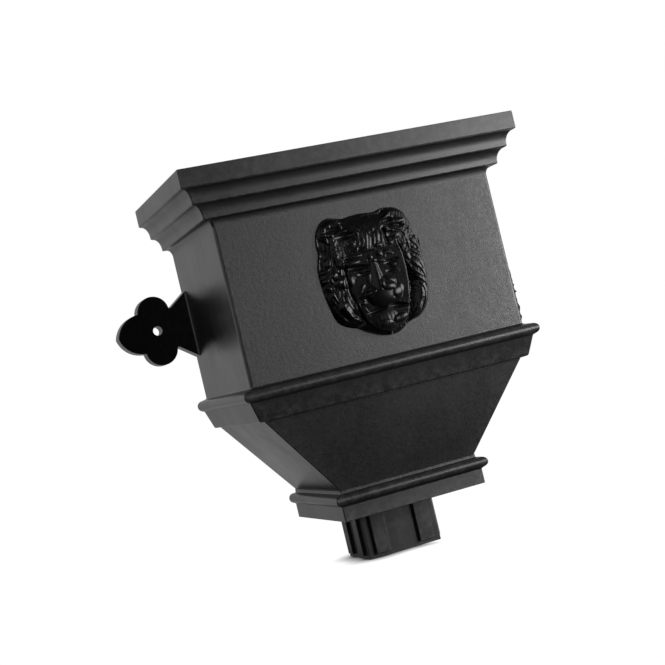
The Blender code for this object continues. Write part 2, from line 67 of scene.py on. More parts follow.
def makeCamera(view):
    azimuth = math.radians(view["azimuth"])
    elevation = math.radians(view["elevation"])
    roll = math.radians(view["roll"])
    ahead = Vector((math.sin(azimuth) * math.cos(elevation),
                    math.cos(azimuth) * math.cos(elevation),
                    math.sin(elevation)))
    level = Vector((math.cos(azimuth), -math.sin(azimuth), 0.0))
    above = level.cross(ahead)
    right = level * math.cos(roll) - above * math.sin(roll)
    up = above * math.cos(roll) + level * math.sin(roll)
    lens = bpy.data.cameras.new("photoCamera")
    lens.sensor_width = view["sensor"]
    lens.lens = view["lens"]
    lens.clip_start = 0.01
    camera = bpy.data.objects.new("photoCamera", lens)
    bpy.context.scene.collection.objects.link(camera)
    turn = Matrix((right, up, -ahead)).transposed()
    camera.matrix_world = Matrix.Translation(view["place"]) @ turn.to_4x4()
    bpy.context.scene.camera = camera


makeCamera(cameraView)
bpy.context.scene.view_settings.view_transform = "Standard"
print("camera placed")


# Shared shader groups

def newGroup(name, inputs, outputs):
    # A node group with named sockets; inputs give (name, kind, value) and outputs (name, kind)
    group = bpy.data.node_groups.new(name, "ShaderNodeTree")
    for label, kind, value in inputs:
        socket = group.interface.new_socket(label, in_out="INPUT", socket_type=kind)
        socket.default_value = value
    for label, kind in outputs:
        group.interface.new_socket(label, in_out="OUTPUT", socket_type=kind)
    start = group.nodes.new("NodeGroupInput")
    end = group.nodes.new("NodeGroupOutput")
    return group, start, end


def addNode(tree, kind, **settings):
    node = tree.nodes.new(kind)
    for key, value in settings.items():
        setattr(node, key, value)
    return node


def feed(tree, value, socket):
    # A number goes on the socket itself, anything else is the output of another node
    if isinstance(value, (int, float)):
        socket.default_value = value
    else:
        tree.links.new(value, socket)


def addMath(tree, operation, first, second):
    node = addNode(tree, "ShaderNodeMath", operation=operation)
    feed(tree, first, node.inputs[0])
    feed(tree, second, node.inputs[1])
    return node.outputs[0]


def addBlend(tree, sides, shares):
    # Two values added up, each with its share
    first, second = (addMath(tree, "MULTIPLY", side, share) for side, share in zip(sides, shares))
    return addMath(tree, "ADD", first, second)


def addNoise(tree, vector, scale, detail=2.0, roughness=0.5):
    node = addNode(tree, "ShaderNodeTexNoise")
    tree.links.new(vector, node.inputs["Vector"])
    feed(tree, scale, node.inputs["Scale"])
    node.inputs["Detail"].default_value = detail
    node.inputs["Roughness"].default_value = roughness
    return node.outputs["Fac"]


def addRange(tree, value, fromLow, fromHigh, toLow, toHigh):
    node = addNode(tree, "ShaderNodeMapRange")
    tree.links.new(value, node.inputs["Value"])
    ends = {"From Min": fromLow, "From Max": fromHigh, "To Min": toLow, "To Max": toHigh}
    for label, number in ends.items():
        feed(tree, number, node.inputs[label])
    return node.outputs["Result"]


grainMix = {
    "fineDetail": (3.0, 0.65),  # detail and roughness of the noise
    "clumpDetail": (2.0, 0.5),
    "clumpScale": 0.31,  # against the scale of the grain
    "clumpHeight": 0.6,
    "fleckShares": (0.7, 0.3),  # of the grain and of the clumps
}


# Sand grain of a tool that was blasted: fine pits with coarser clumps between them
def makeSandGrain(look):
    group, start, end = newGroup(
        "sandGrain",
        [("Vector", "NodeSocketVector", (0, 0, 0)), ("Grain Scale", "NodeSocketFloat", 900.0)],
        [("Height", "NodeSocketFloat"), ("Fleck", "NodeSocketFloat")])
    vector, scale = start.outputs[0], start.outputs[1]
    fine = addNoise(group, vector, scale, *look["fineDetail"])
    clumpScale = addMath(group, "MULTIPLY", scale, look["clumpScale"])
    clump = addNoise(group, vector, clumpScale, *look["clumpDetail"])
    height = addMath(group, "ADD", fine, addMath(group, "MULTIPLY", clump, look["clumpHeight"]))
    group.links.new(height, end.inputs[0])
    group.links.new(addBlend(group, (fine, clump), look["fleckShares"]), end.inputs[1])
    return group


shineMix = {
    "cloudDetail": (4.0, 0.55),
    "streakDetail": (3.0, 0.6),
    "streakStretch": (9.0, 9.0, 1.0),  # long along Z
    "shares": (0.65, 0.35),  # of the clouds and of the streaks
}


# Uneven shine from handling and moulding: broad clouds and faint flow streaks along Z
def makeFlowShine(look):
    group, start, end = newGroup(
        "flowShine",
        [("Vector", "NodeSocketVector", (0, 0, 0)), ("Cloud Scale", "NodeSocketFloat", 14.0)],
        [("Value", "NodeSocketFloat")])
    vector, scale = start.outputs[0], start.outputs[1]
    cloud = addNoise(group, vector, scale, *look["cloudDetail"])
    stretch = addNode(group, "ShaderNodeMapping")
    stretch.inputs["Scale"].default_value = look["streakStretch"]
    group.links.new(vector, stretch.inputs["Vector"])
    streak = addNoise(group, stretch.outputs["Vector"], scale, *look["streakDetail"])
    group.links.new(addBlend(group, (cloud, streak), look["shares"]), end.inputs[0])
    return group


paleEdgeMix = {
    "patchScale": 130.0,
    "patchDetail": (5.0, 0.7),
    "patchSpan": (0.42, 0.72),  # of the noise, from untouched to rubbed
}


# Paler edges: the convex edges that the mesh marks, broken up by noise; on the lion mask the marks are its
# ridges, so its hollows stay darker, as dirt and painted shade
def makePaleEdges(look):
    group, start, end = newGroup(
        "paleEdges",
        [("Vector", "NodeSocketVector", (0, 0, 0)), ("Edge", "NodeSocketFloat", 0.0),
         ("Amount", "NodeSocketFloat", 0.5)],
        [("Mask", "NodeSocketFloat")])
    vector, edge, amount = start.outputs[0], start.outputs[1], start.outputs[2]
    patches = addNoise(group, vector, look["patchScale"], *look["patchDetail"])
    broken = addRange(group, patches, *look["patchSpan"], 0.0, 1.0)
    mask = addMath(group, "MULTIPLY", addMath(group, "MULTIPLY", edge, broken), amount)
    group.links.new(mask, end.inputs[0])
    return group


sandGrain = makeSandGrain(grainMix)
flowShine = makeFlowShine(shineMix)
paleEdges = makePaleEdges(paleEdgeMix)
print("shader groups made")


# Materials

def startMaterial(name):
    material = bpy.data.materials.new(name)
    material.use_nodes = True
    tree = material.node_tree
    shader = tree.nodes["Principled BSDF"]
    place = addNode(tree, "ShaderNodeTexCoord").outputs["Object"]
    return material, tree, shader, place


def placeGroup(tree, group, **sockets):
    node = addNode(tree, "ShaderNodeGroup", node_tree=group)
    for label, value in sockets.items():
        feed(tree, value, node.inputs[label.replace("_", " ")])
    return node


def addAttribute(tree, name):
    return addNode(tree, "ShaderNodeAttribute", attribute_name=name).outputs["Fac"]


def mixColours(tree, factor, first, second):
    node = addNode(tree, "ShaderNodeMix", data_type="RGBA")
    tree.links.new(factor, node.inputs["Factor"])
    for label, colour in (("A", first), ("B", second)):
        socket = next(item for item in node.inputs if item.name == label and item.type == "RGBA")
        if isinstance(colour, tuple):
            socket.default_value = (*colour, 1.0)
        else:
            tree.links.new(colour, socket)
    return next(item for item in node.outputs if item.type == "RGBA")


castBlackLook = {
    "colour": (0.0085, 0.0085, 0.0090),
    "paleFleck": (0.0200, 0.0200, 0.0200),
    "fleckSpan": (0.42, 0.66),
    "fleckAmount": 0.6,
    "paleEdgeColour": (0.060, 0.060, 0.062),
    "paleEdgeAmount": 0.7,
    "cloudScale": 16.0,
    "shineSpan": (0.35, 0.65),  # of the clouds, over which the roughness goes from low to high
    "sideRoughness": (0.27, 0.36),
    "frontRoughness": (0.44, 0.54),
    "grainScale": 1100.0,
    "grainSpan": (0.4, 0.6),
    "grainRoughness": 0.10,
    "grainDepth": 0.00020,
    "rippleScale": 60.0,
    "rippleDepth": 0.00004,
    "ior": 1.5,
}


def makeCastBlack(look):
    material, tree, shader, place = startMaterial("castBlack")
    sanded = addAttribute(tree, "sanded")
    edge = addAttribute(tree, "edge")
    grain = placeGroup(tree, sandGrain, Vector=place, Grain_Scale=look["grainScale"])
    shine = placeGroup(tree, flowShine, Vector=place, Cloud_Scale=look["cloudScale"])
    paleEdge = placeGroup(tree, paleEdges, Vector=place, Edge=edge, Amount=look["paleEdgeAmount"])

    fleck = addRange(tree, grain.outputs["Fleck"], *look["fleckSpan"], 0.0, 1.0)
    fleckMask = addMath(tree, "MULTIPLY", fleck, addMath(tree, "MULTIPLY", sanded, look["fleckAmount"]))
    flecked = mixColours(tree, fleckMask, look["colour"], look["paleFleck"])
    colour = mixColours(tree, paleEdge.outputs["Mask"], flecked, look["paleEdgeColour"])
    tree.links.new(colour, shader.inputs["Base Color"])

    side = addRange(tree, shine.outputs["Value"], *look["shineSpan"], *look["sideRoughness"])
    front = addRange(tree, shine.outputs["Value"], *look["shineSpan"], *look["frontRoughness"])
    grainy = addRange(tree, grain.outputs["Fleck"], *look["grainSpan"], -1.0, 1.0)
    front = addMath(tree, "ADD", front, addMath(tree, "MULTIPLY", grainy, look["grainRoughness"]))
    roughness = addRange(tree, sanded, 0.0, 1.0, side, front)
    tree.links.new(roughness, shader.inputs["Roughness"])

    grainBump = addNode(tree, "ShaderNodeBump")
    grainBump.inputs["Distance"].default_value = look["grainDepth"]
    tree.links.new(addMath(tree, "MULTIPLY", grain.outputs["Height"], sanded), grainBump.inputs["Height"])
    ripple = addNode(tree, "ShaderNodeBump")
    ripple.inputs["Distance"].default_value = look["rippleDepth"]
    tree.links.new(addNoise(tree, place, look["rippleScale"]), ripple.inputs["Height"])
    tree.links.new(grainBump.outputs["Normal"], ripple.inputs["Normal"])
    tree.links.new(ripple.outputs["Normal"], shader.inputs["Normal"])
    shader.inputs["IOR"].default_value = look["ior"]
    return material


glossBlackLook = {
    # the dark colour stays in the hollows as dirt and painted shade, the ridges go towards the paler one
    "colour": (0.0030, 0.0030, 0.0032),
    "ridgeColour": (0.0220, 0.0220, 0.0228),
    "paleEdgeAmount": 0.6,
    "cloudScale": 60.0,
    "shineSpan": (0.35, 0.65),
    "roughness": (0.22, 0.32),
    "specular": 0.16,
    "peelScale": 420.0,
    "peelDepth": 0.00003,
}


def makeGlossBlack(look):
    material, tree, shader, place = startMaterial("glossBlack")
    edge = addAttribute(tree, "edge")
    shine = placeGroup(tree, flowShine, Vector=place, Cloud_Scale=look["cloudScale"])
    paleEdge = placeGroup(tree, paleEdges, Vector=place, Edge=edge, Amount=look["paleEdgeAmount"])
    # ridges paler, hollows left at the dark colour: dirt and painted shade in the hollows
    colour = mixColours(tree, paleEdge.outputs["Mask"], look["colour"], look["ridgeColour"])
    tree.links.new(colour, shader.inputs["Base Color"])
    roughness = addRange(tree, shine.outputs["Value"], *look["shineSpan"], *look["roughness"])
    tree.links.new(roughness, shader.inputs["Roughness"])
    peel = addNode(tree, "ShaderNodeBump")
    peel.inputs["Distance"].default_value = look["peelDepth"]
    tree.links.new(addNoise(tree, place, look["peelScale"]), peel.inputs["Height"])
    tree.links.new(peel.outputs["Normal"], shader.inputs["Normal"])
    shader.inputs["Specular IOR Level"].default_value = look["specular"]
    return material


castBlack = makeCastBlack(castBlackLook)
glossBlack = makeGlossBlack(glossBlackLook)
print("materials made")


# Mesh helpers

def arcPoints(centre, radius, start, end, steps):
    # Points on an arc in a plane, with its angles in degrees
    points = []
    for index in range(steps + 1):
        angle = math.radians(start + (end - start) * index / steps)
        points.append((centre[0] + radius * math.cos(angle), centre[1] + radius * math.sin(angle)))
    return points


def objectFrom(bm, name, material=None):
    bmesh.ops.recalc_face_normals(bm, faces=bm.faces)
    mesh = bpy.data.meshes.new(name)
    bm.to_mesh(mesh)
    bm.free()
    item = bpy.data.objects.new(name, mesh)
    bpy.context.scene.collection.objects.link(item)
    if material:
        mesh.materials.append(material)
    return item


def combine(target, tool, operation):
    step = target.modifiers.new(operation.lower(), "BOOLEAN")
    step.operation = operation
    step.solver = "EXACT"
    step.object = tool


def settleModifiers(item, tools):
    # Applies the modifiers and removes the tools that they used
    graph = bpy.context.evaluated_depsgraph_get()
    mesh = bpy.data.meshes.new_from_object(item.evaluated_get(graph))
    item.modifiers.clear()
    item.data = mesh
    for tool in tools:
        bpy.data.objects.remove(tool, do_unlink=True)


def softenShading(item, sharpAngle):
    # Smooth shading with hard edges only where faces meet at more than the angle
    bm = bmesh.new()
    bm.from_mesh(item.data)
    for face in bm.faces:
        face.smooth = True
    for edge in bm.edges:
        if len(edge.link_faces) == 2:
            edge.smooth = edge.calc_face_angle(0.0) < math.radians(sharpAngle)
    bm.to_mesh(item.data)
    bm.free()
    weighted = item.modifiers.new("weighted", "WEIGHTED_NORMAL")
    weighted.keep_sharp = True


def bandFaces(bm, upper, lower):
    # Quads between two closed rows of points
    count = len(upper)
    for index in range(count):
        following = (index + 1) % count
        bm.faces.new((upper[index], upper[following], lower[following], lower[index]))


def extruded(name, points, shift):
    # A flat outline drawn out into a prism
    bm = bmesh.new()
    face = bm.faces.new([bm.verts.new(point) for point in points])
    moved = bmesh.ops.extrude_face_region(bm, geom=[face])["geom"]
    corners = [part for part in moved if isinstance(part, bmesh.types.BMVert)]
    bmesh.ops.translate(bm, verts=corners, vec=shift)
    return objectFrom(bm, name)


# The shell: every level is one ring of points, and the rings run down the outside, under the foot,
# down the outlet, back up inside and over the rim

shell = {
    "boxWidth": 0.240,
    "boxDepth": 0.1455,
    "wall": 0.003,
    "boxCorner": 0.0026,
    "mouldingCorner": 0.0009,
    "backCorner": 0.0006,
    "cornerSteps": 6,
    "arcSteps": {"rim": 4, "lip": 5, "cove": 8, "fillet": 7, "footFillet": 5, "bead": 12},
    "sharpAngle": 32,  # degrees, flatter edges are shaded smooth
    "endRound": 0.0004,  # at the rim's inner edge and the outlet's end
    "innerLedge": 0.0012,
    "corniceOut": (0.0234, 0.0158, 0.0080),
    "corniceLip": (0.0148, 0.0270, 0.0386),  # below the rim
    "coveDepth": (0.0066, 0.0066, 0.0044),
    "coveTall": 1.45,
    "lipRadius": 0.0010,
    "rimRadius": 0.0005,
    "soffitFall": 0.0002,
    "bandTop": -0.0648,
    "bandFillet": 0.0016,
    "hollowTurn": (180, 262),  # degrees, of the hollow above each bead
    "beadRadius": 0.0044,
    "beadOut": 0.0094,
    "beadTurn": (84, -66),  # degrees, from its top to the slope that runs down to the fascia
    "beadTop": -0.0672,
    "bandFascia": 0.0042,
    "fasciaEase": (0.0003, 0.0005),  # out and up, where the slope meets the fascia
    "fasciaTop": -0.0772,
    "fasciaEnd": -0.0918,
    "fasciaLean": 0.0052,
    "fasciaChamfer": (0.0010, 0.0008),  # in and down
    "funnelTop": -0.0930,
    "funnelStep": 0.0053,
    "funnelEnd": -0.1616,
    "footWidth": 0.1211,
    "footDepth": 0.1203,
    "quirkHeight": 0.0020,
    "quirkOut": 0.0005,
    "quirkEdge": 0.0004,
    "footFillet": 0.0012,
    "footBeadRadius": 0.0042,
    "footBeadOut": 0.0077,
    "footSlope": 0.0056,  # from the middle of the bead down to the fascia
    "footFascia": 0.0027,
    "footEdge": 0.0003,
    "underside": -0.1864,
}

outlet = {
    "width": 0.0666,
    "depth": 0.0500,
    "wall": 0.0025,
    "fromWall": 0.0240,
    "corner": 0.0009,
    "ribOut": 0.0030,
    "ribSpanFront": (0.0138, 0.0268),  # from the middle of the face
    "ribSpanSide": (0.0077, 0.0185),
    "ribRound": 0.0005,
    "ribKnee": (0.3, 0.06),  # middle of the rounding: its share across, and its share out of the chord
    "ribDraft": 0.0002,
    "ribShort": 0.0035,
    "ribFoot": 0.0001,
    "endCut": 0.7,  # share of the rounding at the end
}


def planRing(half, front, rear, z, corner, rearCorner, proud=0.0):
    # One level seen from above: four sides with places for two ribs each, and four rounded corners
    middle = Vector((0.0, -(front + rear) / 2))
    halves = (half, (front - rear) / 2)
    outletHalves = (outlet["width"] / 2, outlet["depth"] / 2)
    soft = 1 - outlet["ribRound"] / outlet["ribOut"]
    kneeAcross, kneeOut = outlet["ribKnee"]
    edge = ((-outlet["ribDraft"], 0.0), (0.0, soft),
            (outlet["ribRound"] * kneeAcross, (1 + soft) / 2 + kneeOut), (outlet["ribRound"], 1.0))
    points = []
    for side in range(4):
        out = Vector(((-1, 0), (0, -1), (1, 0), (0, 1))[side])
        along = Vector(((0, -1), (1, 0), (0, 1), (-1, 0))[side])
        length, reach = (halves[1], halves[0]) if side % 2 == 0 else halves
        outletLength = outletHalves[1 - side % 2]
        near, far = outlet["ribSpanSide"] if side % 2 == 0 else outlet["ribSpanFront"]
        for start, end in ((-far, -near), (near, far)):
            corners = [(start + shift, share) for shift, share in edge]
            corners += [(end - shift, share) for shift, share in edge[::-1]]
            for shift, share in corners:
                spot = middle + along * (shift / outletLength * length) + out * (reach + proud * share)
                points.append((spot.x, spot.y, z))
        radius = rearCorner if side >= 2 else corner
        centre = middle + along * (length - radius) + out * (reach - radius)
        for index in range(shell["cornerSteps"] + 1):
            angle = math.pi / 2 * index / shell["cornerSteps"]
            spot = centre + (out * math.cos(angle) + along * math.sin(angle)) * radius
            points.append((spot.x, spot.y, z))
    return points


def profileArc(centre, radius, turn, steps, corner):
    # An arc of a profile, each point with the radius of its level's corners in plan
    return [(*spot, corner) for spot in arcPoints(centre, radius, *turn, steps)]


def outsideProfile():
    # (projection from the box, height, corner radius) from the rim to the top of the funnel
    rim, out, steps = bodyHigh.z, shell["corniceOut"], shell["arcSteps"]
    rimRadius, lipRadius = shell["rimRadius"], shell["lipRadius"]
    small, large = shell["mouldingCorner"], shell["boxCorner"]
    points = profileArc((out[0] - rimRadius, rim - rimRadius), rimRadius, (90, 0), steps["rim"], small)
    inner = out[1:] + (0.0,)
    for reach, inset, lip, cove in zip(out, inner, shell["corniceLip"], shell["coveDepth"]):
        lipHeight = rim - lip
        coveTop = lipHeight - shell["soffitFall"]
        coveCorner = large if inset == 0.0 else small
        lipCentre = (reach - lipRadius, lipHeight + lipRadius)
        points += profileArc(lipCentre, lipRadius, (0, -90), steps["lip"], small)
        points += [(place, coveTop + fall * shell["coveTall"], coveCorner)
                   for place, fall in arcPoints((inset + cove, -cove), cove, 90, 180, steps["cove"])]
    fillet, bead = shell["bandFillet"], shell["beadRadius"]
    points += profileArc((fillet, shell["bandTop"]), fillet, shell["hollowTurn"], steps["fillet"], large)
    nose = (shell["beadOut"] - bead, shell["beadTop"] - bead)
    points += profileArc(nose, bead, shell["beadTurn"], steps["bead"], small)
    fascia, (easeOut, easeUp) = shell["bandFascia"], shell["fasciaEase"]
    lean, (cutIn, cutDown) = fascia - shell["fasciaLean"], shell["fasciaChamfer"]
    points += [(fascia + easeOut, shell["fasciaTop"] + easeUp, small),
               (fascia, shell["fasciaTop"], small),
               (lean, shell["fasciaEnd"], small),
               (lean - cutIn, shell["fasciaEnd"] - cutDown, small),
               (lean - shell["funnelStep"], shell["funnelTop"], small)]
    return points


def footProfile():
    small, bead, fillet = shell["mouldingCorner"], shell["footBeadRadius"], shell["footFillet"]
    quirkOut, quirkEnd = shell["quirkOut"], shell["funnelEnd"] - shell["quirkHeight"]
    turn, steps = shell["hollowTurn"], shell["arcSteps"]
    points = [(0.0, shell["funnelEnd"], small),
              (quirkOut, shell["funnelEnd"] - shell["quirkEdge"], small),
              (quirkOut, quirkEnd, small)]
    points += profileArc((quirkOut + fillet, quirkEnd), fillet, turn, steps["footFillet"], small)
    nose = (shell["footBeadOut"] - bead, quirkEnd - fillet - bead)
    points += profileArc(nose, bead, shell["beadTurn"], steps["bead"], small)
    fascia, (easeOut, easeUp) = shell["footFascia"], shell["fasciaEase"]
    fasciaTop, edge = nose[1] - shell["footSlope"], shell["footEdge"]
    points += [(fascia + easeOut, fasciaTop + easeUp, small),
               (fascia, fasciaTop, small),
               (fascia, shell["underside"] + edge, small),
               (fascia - edge, shell["underside"], small)]
    return points


def insideRings():
    # The open inside follows the outside one wall thickness in
    wall, rim, corner = shell["wall"], bodyHigh.z, shell["mouldingCorner"]
    first, second, third = (value - wall for value in shell["corniceOut"])
    shelf = [rim - lip + wall for lip in shell["corniceLip"]]
    ledge, soft = shell["innerLedge"], shell["endRound"]
    profile = [(first - soft, rim), (first, rim - soft), (first, shelf[0]), (second, shelf[0] - ledge),
               (second, shelf[1]), (third, shelf[1] - ledge), (third, shelf[2]), (-wall, shelf[2] - ledge),
               (-wall, shell["funnelTop"] + 2 * wall)]

    def level(half, front, z):
        return planRing(half, front, wall, z, corner, corner)

    rings = [level(shell["boxWidth"] / 2 + out, shell["boxDepth"] + out, z) for out, z in profile]
    drop = shell["funnelTop"] - shell["funnelEnd"]
    start = shell["boxWidth"] / 2 + shell["bandFascia"] - shell["fasciaLean"] - shell["funnelStep"]
    startFront = start - shell["boxWidth"] / 2 + shell["boxDepth"]
    sideInset = wall * math.hypot(1.0, (start - shell["footWidth"] / 2) / drop)
    frontInset = wall * math.hypot(1.0, (startFront - shell["footDepth"]) / drop)
    end, endFront = shell["footWidth"] / 2 - sideInset, shell["footDepth"] - frontInset
    rings += [level(start - sideInset, startFront - frontInset, shell["funnelTop"]),
              level(end, endFront, shell["funnelEnd"]),
              level(end, endFront, shell["underside"] + wall)]
    return rings


def outletRing(shrink, z, proud=0.0):
    half, corner = outlet["width"] / 2 - shrink, outlet["corner"]
    front, rear = outlet["fromWall"] + outlet["depth"] - shrink, outlet["fromWall"] + shrink
    return planRing(half, front, rear, z, corner, corner, proud)


def shellRings():
    rings = []
    for width, depth, profile in ((shell["boxWidth"], shell["boxDepth"], outsideProfile()),
                                  (shell["footWidth"], shell["footDepth"], footProfile())):
        for out, z, corner in profile:
            rings.append(planRing(width / 2 + out, depth + out, 0.0, z, corner, shell["backCorner"]))
    end, wall, proud, soft = bodyLow.z, outlet["wall"], outlet["ribOut"], shell["endRound"]
    ribEnd, cut = end + outlet["ribShort"], soft * outlet["endCut"]
    rings += [outletRing(0.0, shell["underside"], proud),
              outletRing(0.0, ribEnd + soft, proud),
              outletRing(0.0, ribEnd, proud - soft),
              outletRing(0.0, ribEnd - outlet["ribFoot"]),
              outletRing(0.0, end + soft),
              outletRing(cut, end),
              outletRing(wall - cut, end),
              outletRing(wall, end + soft),
              outletRing(wall, shell["underside"] + shell["wall"])]
    return rings + insideRings()[::-1]


def makeShell():
    bm = bmesh.new()
    rings = [[bm.verts.new(point) for point in ring] for ring in shellRings()]
    for upper, lower in zip(rings, rings[1:] + rings[:1]):
        bandFaces(bm, upper, lower)
    return objectFrom(bm, "hopperShell", castBlack)


# Fixing ears: trefoils that are hollow behind, with a boss round the screw hole

ear = {
    "thickness": 0.0150,
    "screwReach": 0.0313,
    "lobeRadius": 0.0138,
    "lobeOffset": 0.0160,
    "lobeSteps": 30,
    "leafHalf": 0.0170,
    "leafRoot": 0.0150,
    "leafBulge": 0.0042,
    "leafSteps": 16,
    "neckReach": 0.0158,
    "neckHalf": 0.0172,
    "neckShare": 0.4,  # how far the hollow's outline steps back along the neck, against its inset
    "tipShare": 1.25,  # the same at the leaf's tip
    "rootHalf": 0.0288,
    "screwHole": 0.0080,
    "boss": 0.0145,
    "bossGap": 0.0002,  # between the boss and the wall
    "holeSides": 48,
    "wall": 0.0030,
    "sink": 0.0015,
    "edgeRound": 0.0006,
    "edgeSteps": 3,
    "edgeAngle": 60,  # degrees, softer edges stay as they are
    "fillet": 0.0020,
    "filletHalf": 0.0276,
    "filletSteps": 8,
}


def bulgedArc(start, end, rise, steps):
    # A shallow arc between two points that bulges to the left of the way
    along = Vector(end) - Vector(start)
    normal = Vector((-along.y, along.x)).normalized()
    radius = (along.length ** 2 / 4 + rise * rise) / (2 * rise)
    centre = (Vector(start) + Vector(end)) / 2 - normal * (radius - rise)
    first = math.degrees(math.atan2(start[1] - centre.y, start[0] - centre.x))
    last = math.degrees(math.atan2(end[1] - centre.y, end[0] - centre.x))
    if last > first:
        last -= 360
    return arcPoints(centre, radius, first, last, steps)


def earOutline(inset=0.0, root=-ear["sink"]):
    # Upper half of the trefoil, mirrored below; X runs out from the box's side wall
    reach = bodyHigh.x - shell["boxWidth"] / 2
    lobeEnd = math.degrees(math.asin((ear["neckHalf"] - ear["lobeOffset"]) / ear["lobeRadius"]))
    slope = (ear["rootHalf"] - ear["neckHalf"]) / ear["neckReach"]
    drop = inset * math.hypot(1.0, slope)
    stepBack = inset * ear["neckShare"]
    neck = ear["neckReach"] - stepBack
    upper = [(root, ear["rootHalf"] - max(root, 0.0) * slope - drop),
             (neck, ear["rootHalf"] - neck * slope - drop)]
    if root < 0:
        upper.insert(1, (0.0, ear["rootHalf"]))
    lobe = (ear["screwReach"], ear["lobeOffset"])
    upper += arcPoints(lobe, ear["lobeRadius"] - inset, 180 - lobeEnd, lobeEnd, ear["lobeSteps"])
    leaf = (ear["screwReach"] + ear["leafRoot"] - stepBack, ear["leafHalf"] - inset)
    tip = (reach - inset * ear["tipShare"], 0.0)
    upper += bulgedArc(leaf, tip, ear["leafBulge"], ear["leafSteps"])
    return upper + [(x, -z) for x, z in reversed(upper[:-1])]


def earPrism(name, side, outline, near, far):
    # An outline in X and Z beside the box, given depth along Y
    points = [(side * (shell["boxWidth"] / 2 + x), near, z) for x, z in outline]
    return extruded(name, points, (0.0, far - near, 0.0))


def screwTube(name, diameter, side, near, far):
    bm = bmesh.new()
    bmesh.ops.create_cone(bm, cap_ends=True, segments=ear["holeSides"], radius1=diameter / 2,
                          radius2=diameter / 2, depth=far - near)
    bmesh.ops.rotate(bm, verts=bm.verts, matrix=Matrix.Rotation(math.pi / 2, 3, "X"))
    x = side * (shell["boxWidth"] / 2 + ear["screwReach"])
    bmesh.ops.translate(bm, verts=bm.verts, vec=(x, (near + far) / 2, 0.0))
    return objectFrom(bm, name)


def earFillet(side):
    # The small hollow round where the ear's front meets the side wall
    radius, sink, face = ear["fillet"], ear["sink"] / 2, -ear["thickness"]
    wall = shell["boxWidth"] / 2
    outline = [(wall - sink, face + sink), (wall - sink, face - radius)]
    outline += arcPoints((wall + radius, face - radius), radius, 180, 90, ear["filletSteps"])
    outline.append((wall + radius, face + sink))
    points = [(side * x, y, -ear["filletHalf"]) for x, y in outline]
    return extruded("earFillet", points, (0.0, 0.0, 2 * ear["filletHalf"]))


def addEars(body):
    tools = []
    thickness, wall, sink = ear["thickness"], ear["wall"], ear["sink"]
    for side in (-1, 1):
        plate = earPrism("earPlate", side, earOutline(), -thickness, 0.0)
        soften = plate.modifiers.new("soften", "BEVEL")
        soften.width = ear["edgeRound"]
        soften.segments = ear["edgeSteps"]
        soften.limit_method = "ANGLE"
        soften.angle_limit = math.radians(ear["edgeAngle"])
        soften.use_clamp_overlap = False
        pocket = earPrism("earPocket", side, earOutline(wall, wall), -thickness + wall, sink)
        boss = screwTube("screwBoss", ear["boss"], side, -thickness + sink, -ear["bossGap"])
        hole = screwTube("screwHole", ear["screwHole"], side, -thickness - sink, sink)
        fillet = earFillet(side)
        for tool in (plate, fillet, pocket, boss, hole):
            combine(body, tool, "DIFFERENCE" if tool in (pocket, hole) else "UNION")
            tools.append(tool)
    return tools


# Ragged flash that was left on the box's front right edge

flash = {
    # how far down and how far out, in millimetres
    "teeth": ((-19, 0.1), (-23, 0.5), (-26, 0.3), (-29.5, 0.6), (-31.5, 0.4), (-33, 1.2), (-34.2, 0.4),
              (-37.2, 0.6), (-38.7, 1.9), (-39.8, 0.5), (-43, 0.4), (-46, 0.7), (-48, 0.4), (-50.3, 1.2),
              (-52, 1.6), (-53.6, 1.1), (-56, 0.4), (-58, 0.6), (-59.8, 1.4), (-61.2, 0.8), (-63, 0.1)),
    "thickness": 0.0006,
    "taper": (1.6, 0.3),  # times the thickness, at the root and at the tips
    "sink": 0.0005,  # into the edge
    "bearing": -28.0,  # degrees from +X in plan
}


def makeFlash(look):
    radius = shell["boxCorner"]
    bearing = math.radians(look["bearing"])
    out = Vector((math.cos(bearing), math.sin(bearing), 0.0))
    across = Vector((-out.y, out.x, 0.0)) * look["thickness"] / 2
    rootHalf, tipHalf = (across * share for share in look["taper"])
    corner = Vector((shell["boxWidth"] / 2 - radius, -shell["boxDepth"] + radius, 0.0))
    bm = bmesh.new()
    rows = []
    for depth, reach in look["teeth"]:
        root = corner + out * (radius - look["sink"]) + Vector((0.0, 0.0, depth * millimetre))
        tip = root + out * (reach * millimetre + look["sink"])
        spots = (root - rootHalf, tip - tipHalf, tip + tipHalf, root + rootHalf)
        rows.append([bm.verts.new(spot) for spot in spots])
    for upper, lower in zip(rows, rows[1:]):
        bandFaces(bm, upper, lower)
    bm.faces.new(rows[0])
    bm.faces.new(rows[-1][::-1])
    return objectFrom(bm, "edgeFlash", castBlack)


finishMarks = {
    "frontOf": -0.030,  # the ears behind this depth are smooth
    "facingFront": (-0.30, 0.5),  # highest Y and highest X to a side of a normal that faces the front
    "panelSpan": (-0.0630, 0.0670),
    "panelSand": 1.0,
    "mouldingSand": 0.45,
    "outletSand": (0.2, 1.0),  # its front and its sides
    "edgeTurn": 20,  # degrees, sharper edges are marked in full
}


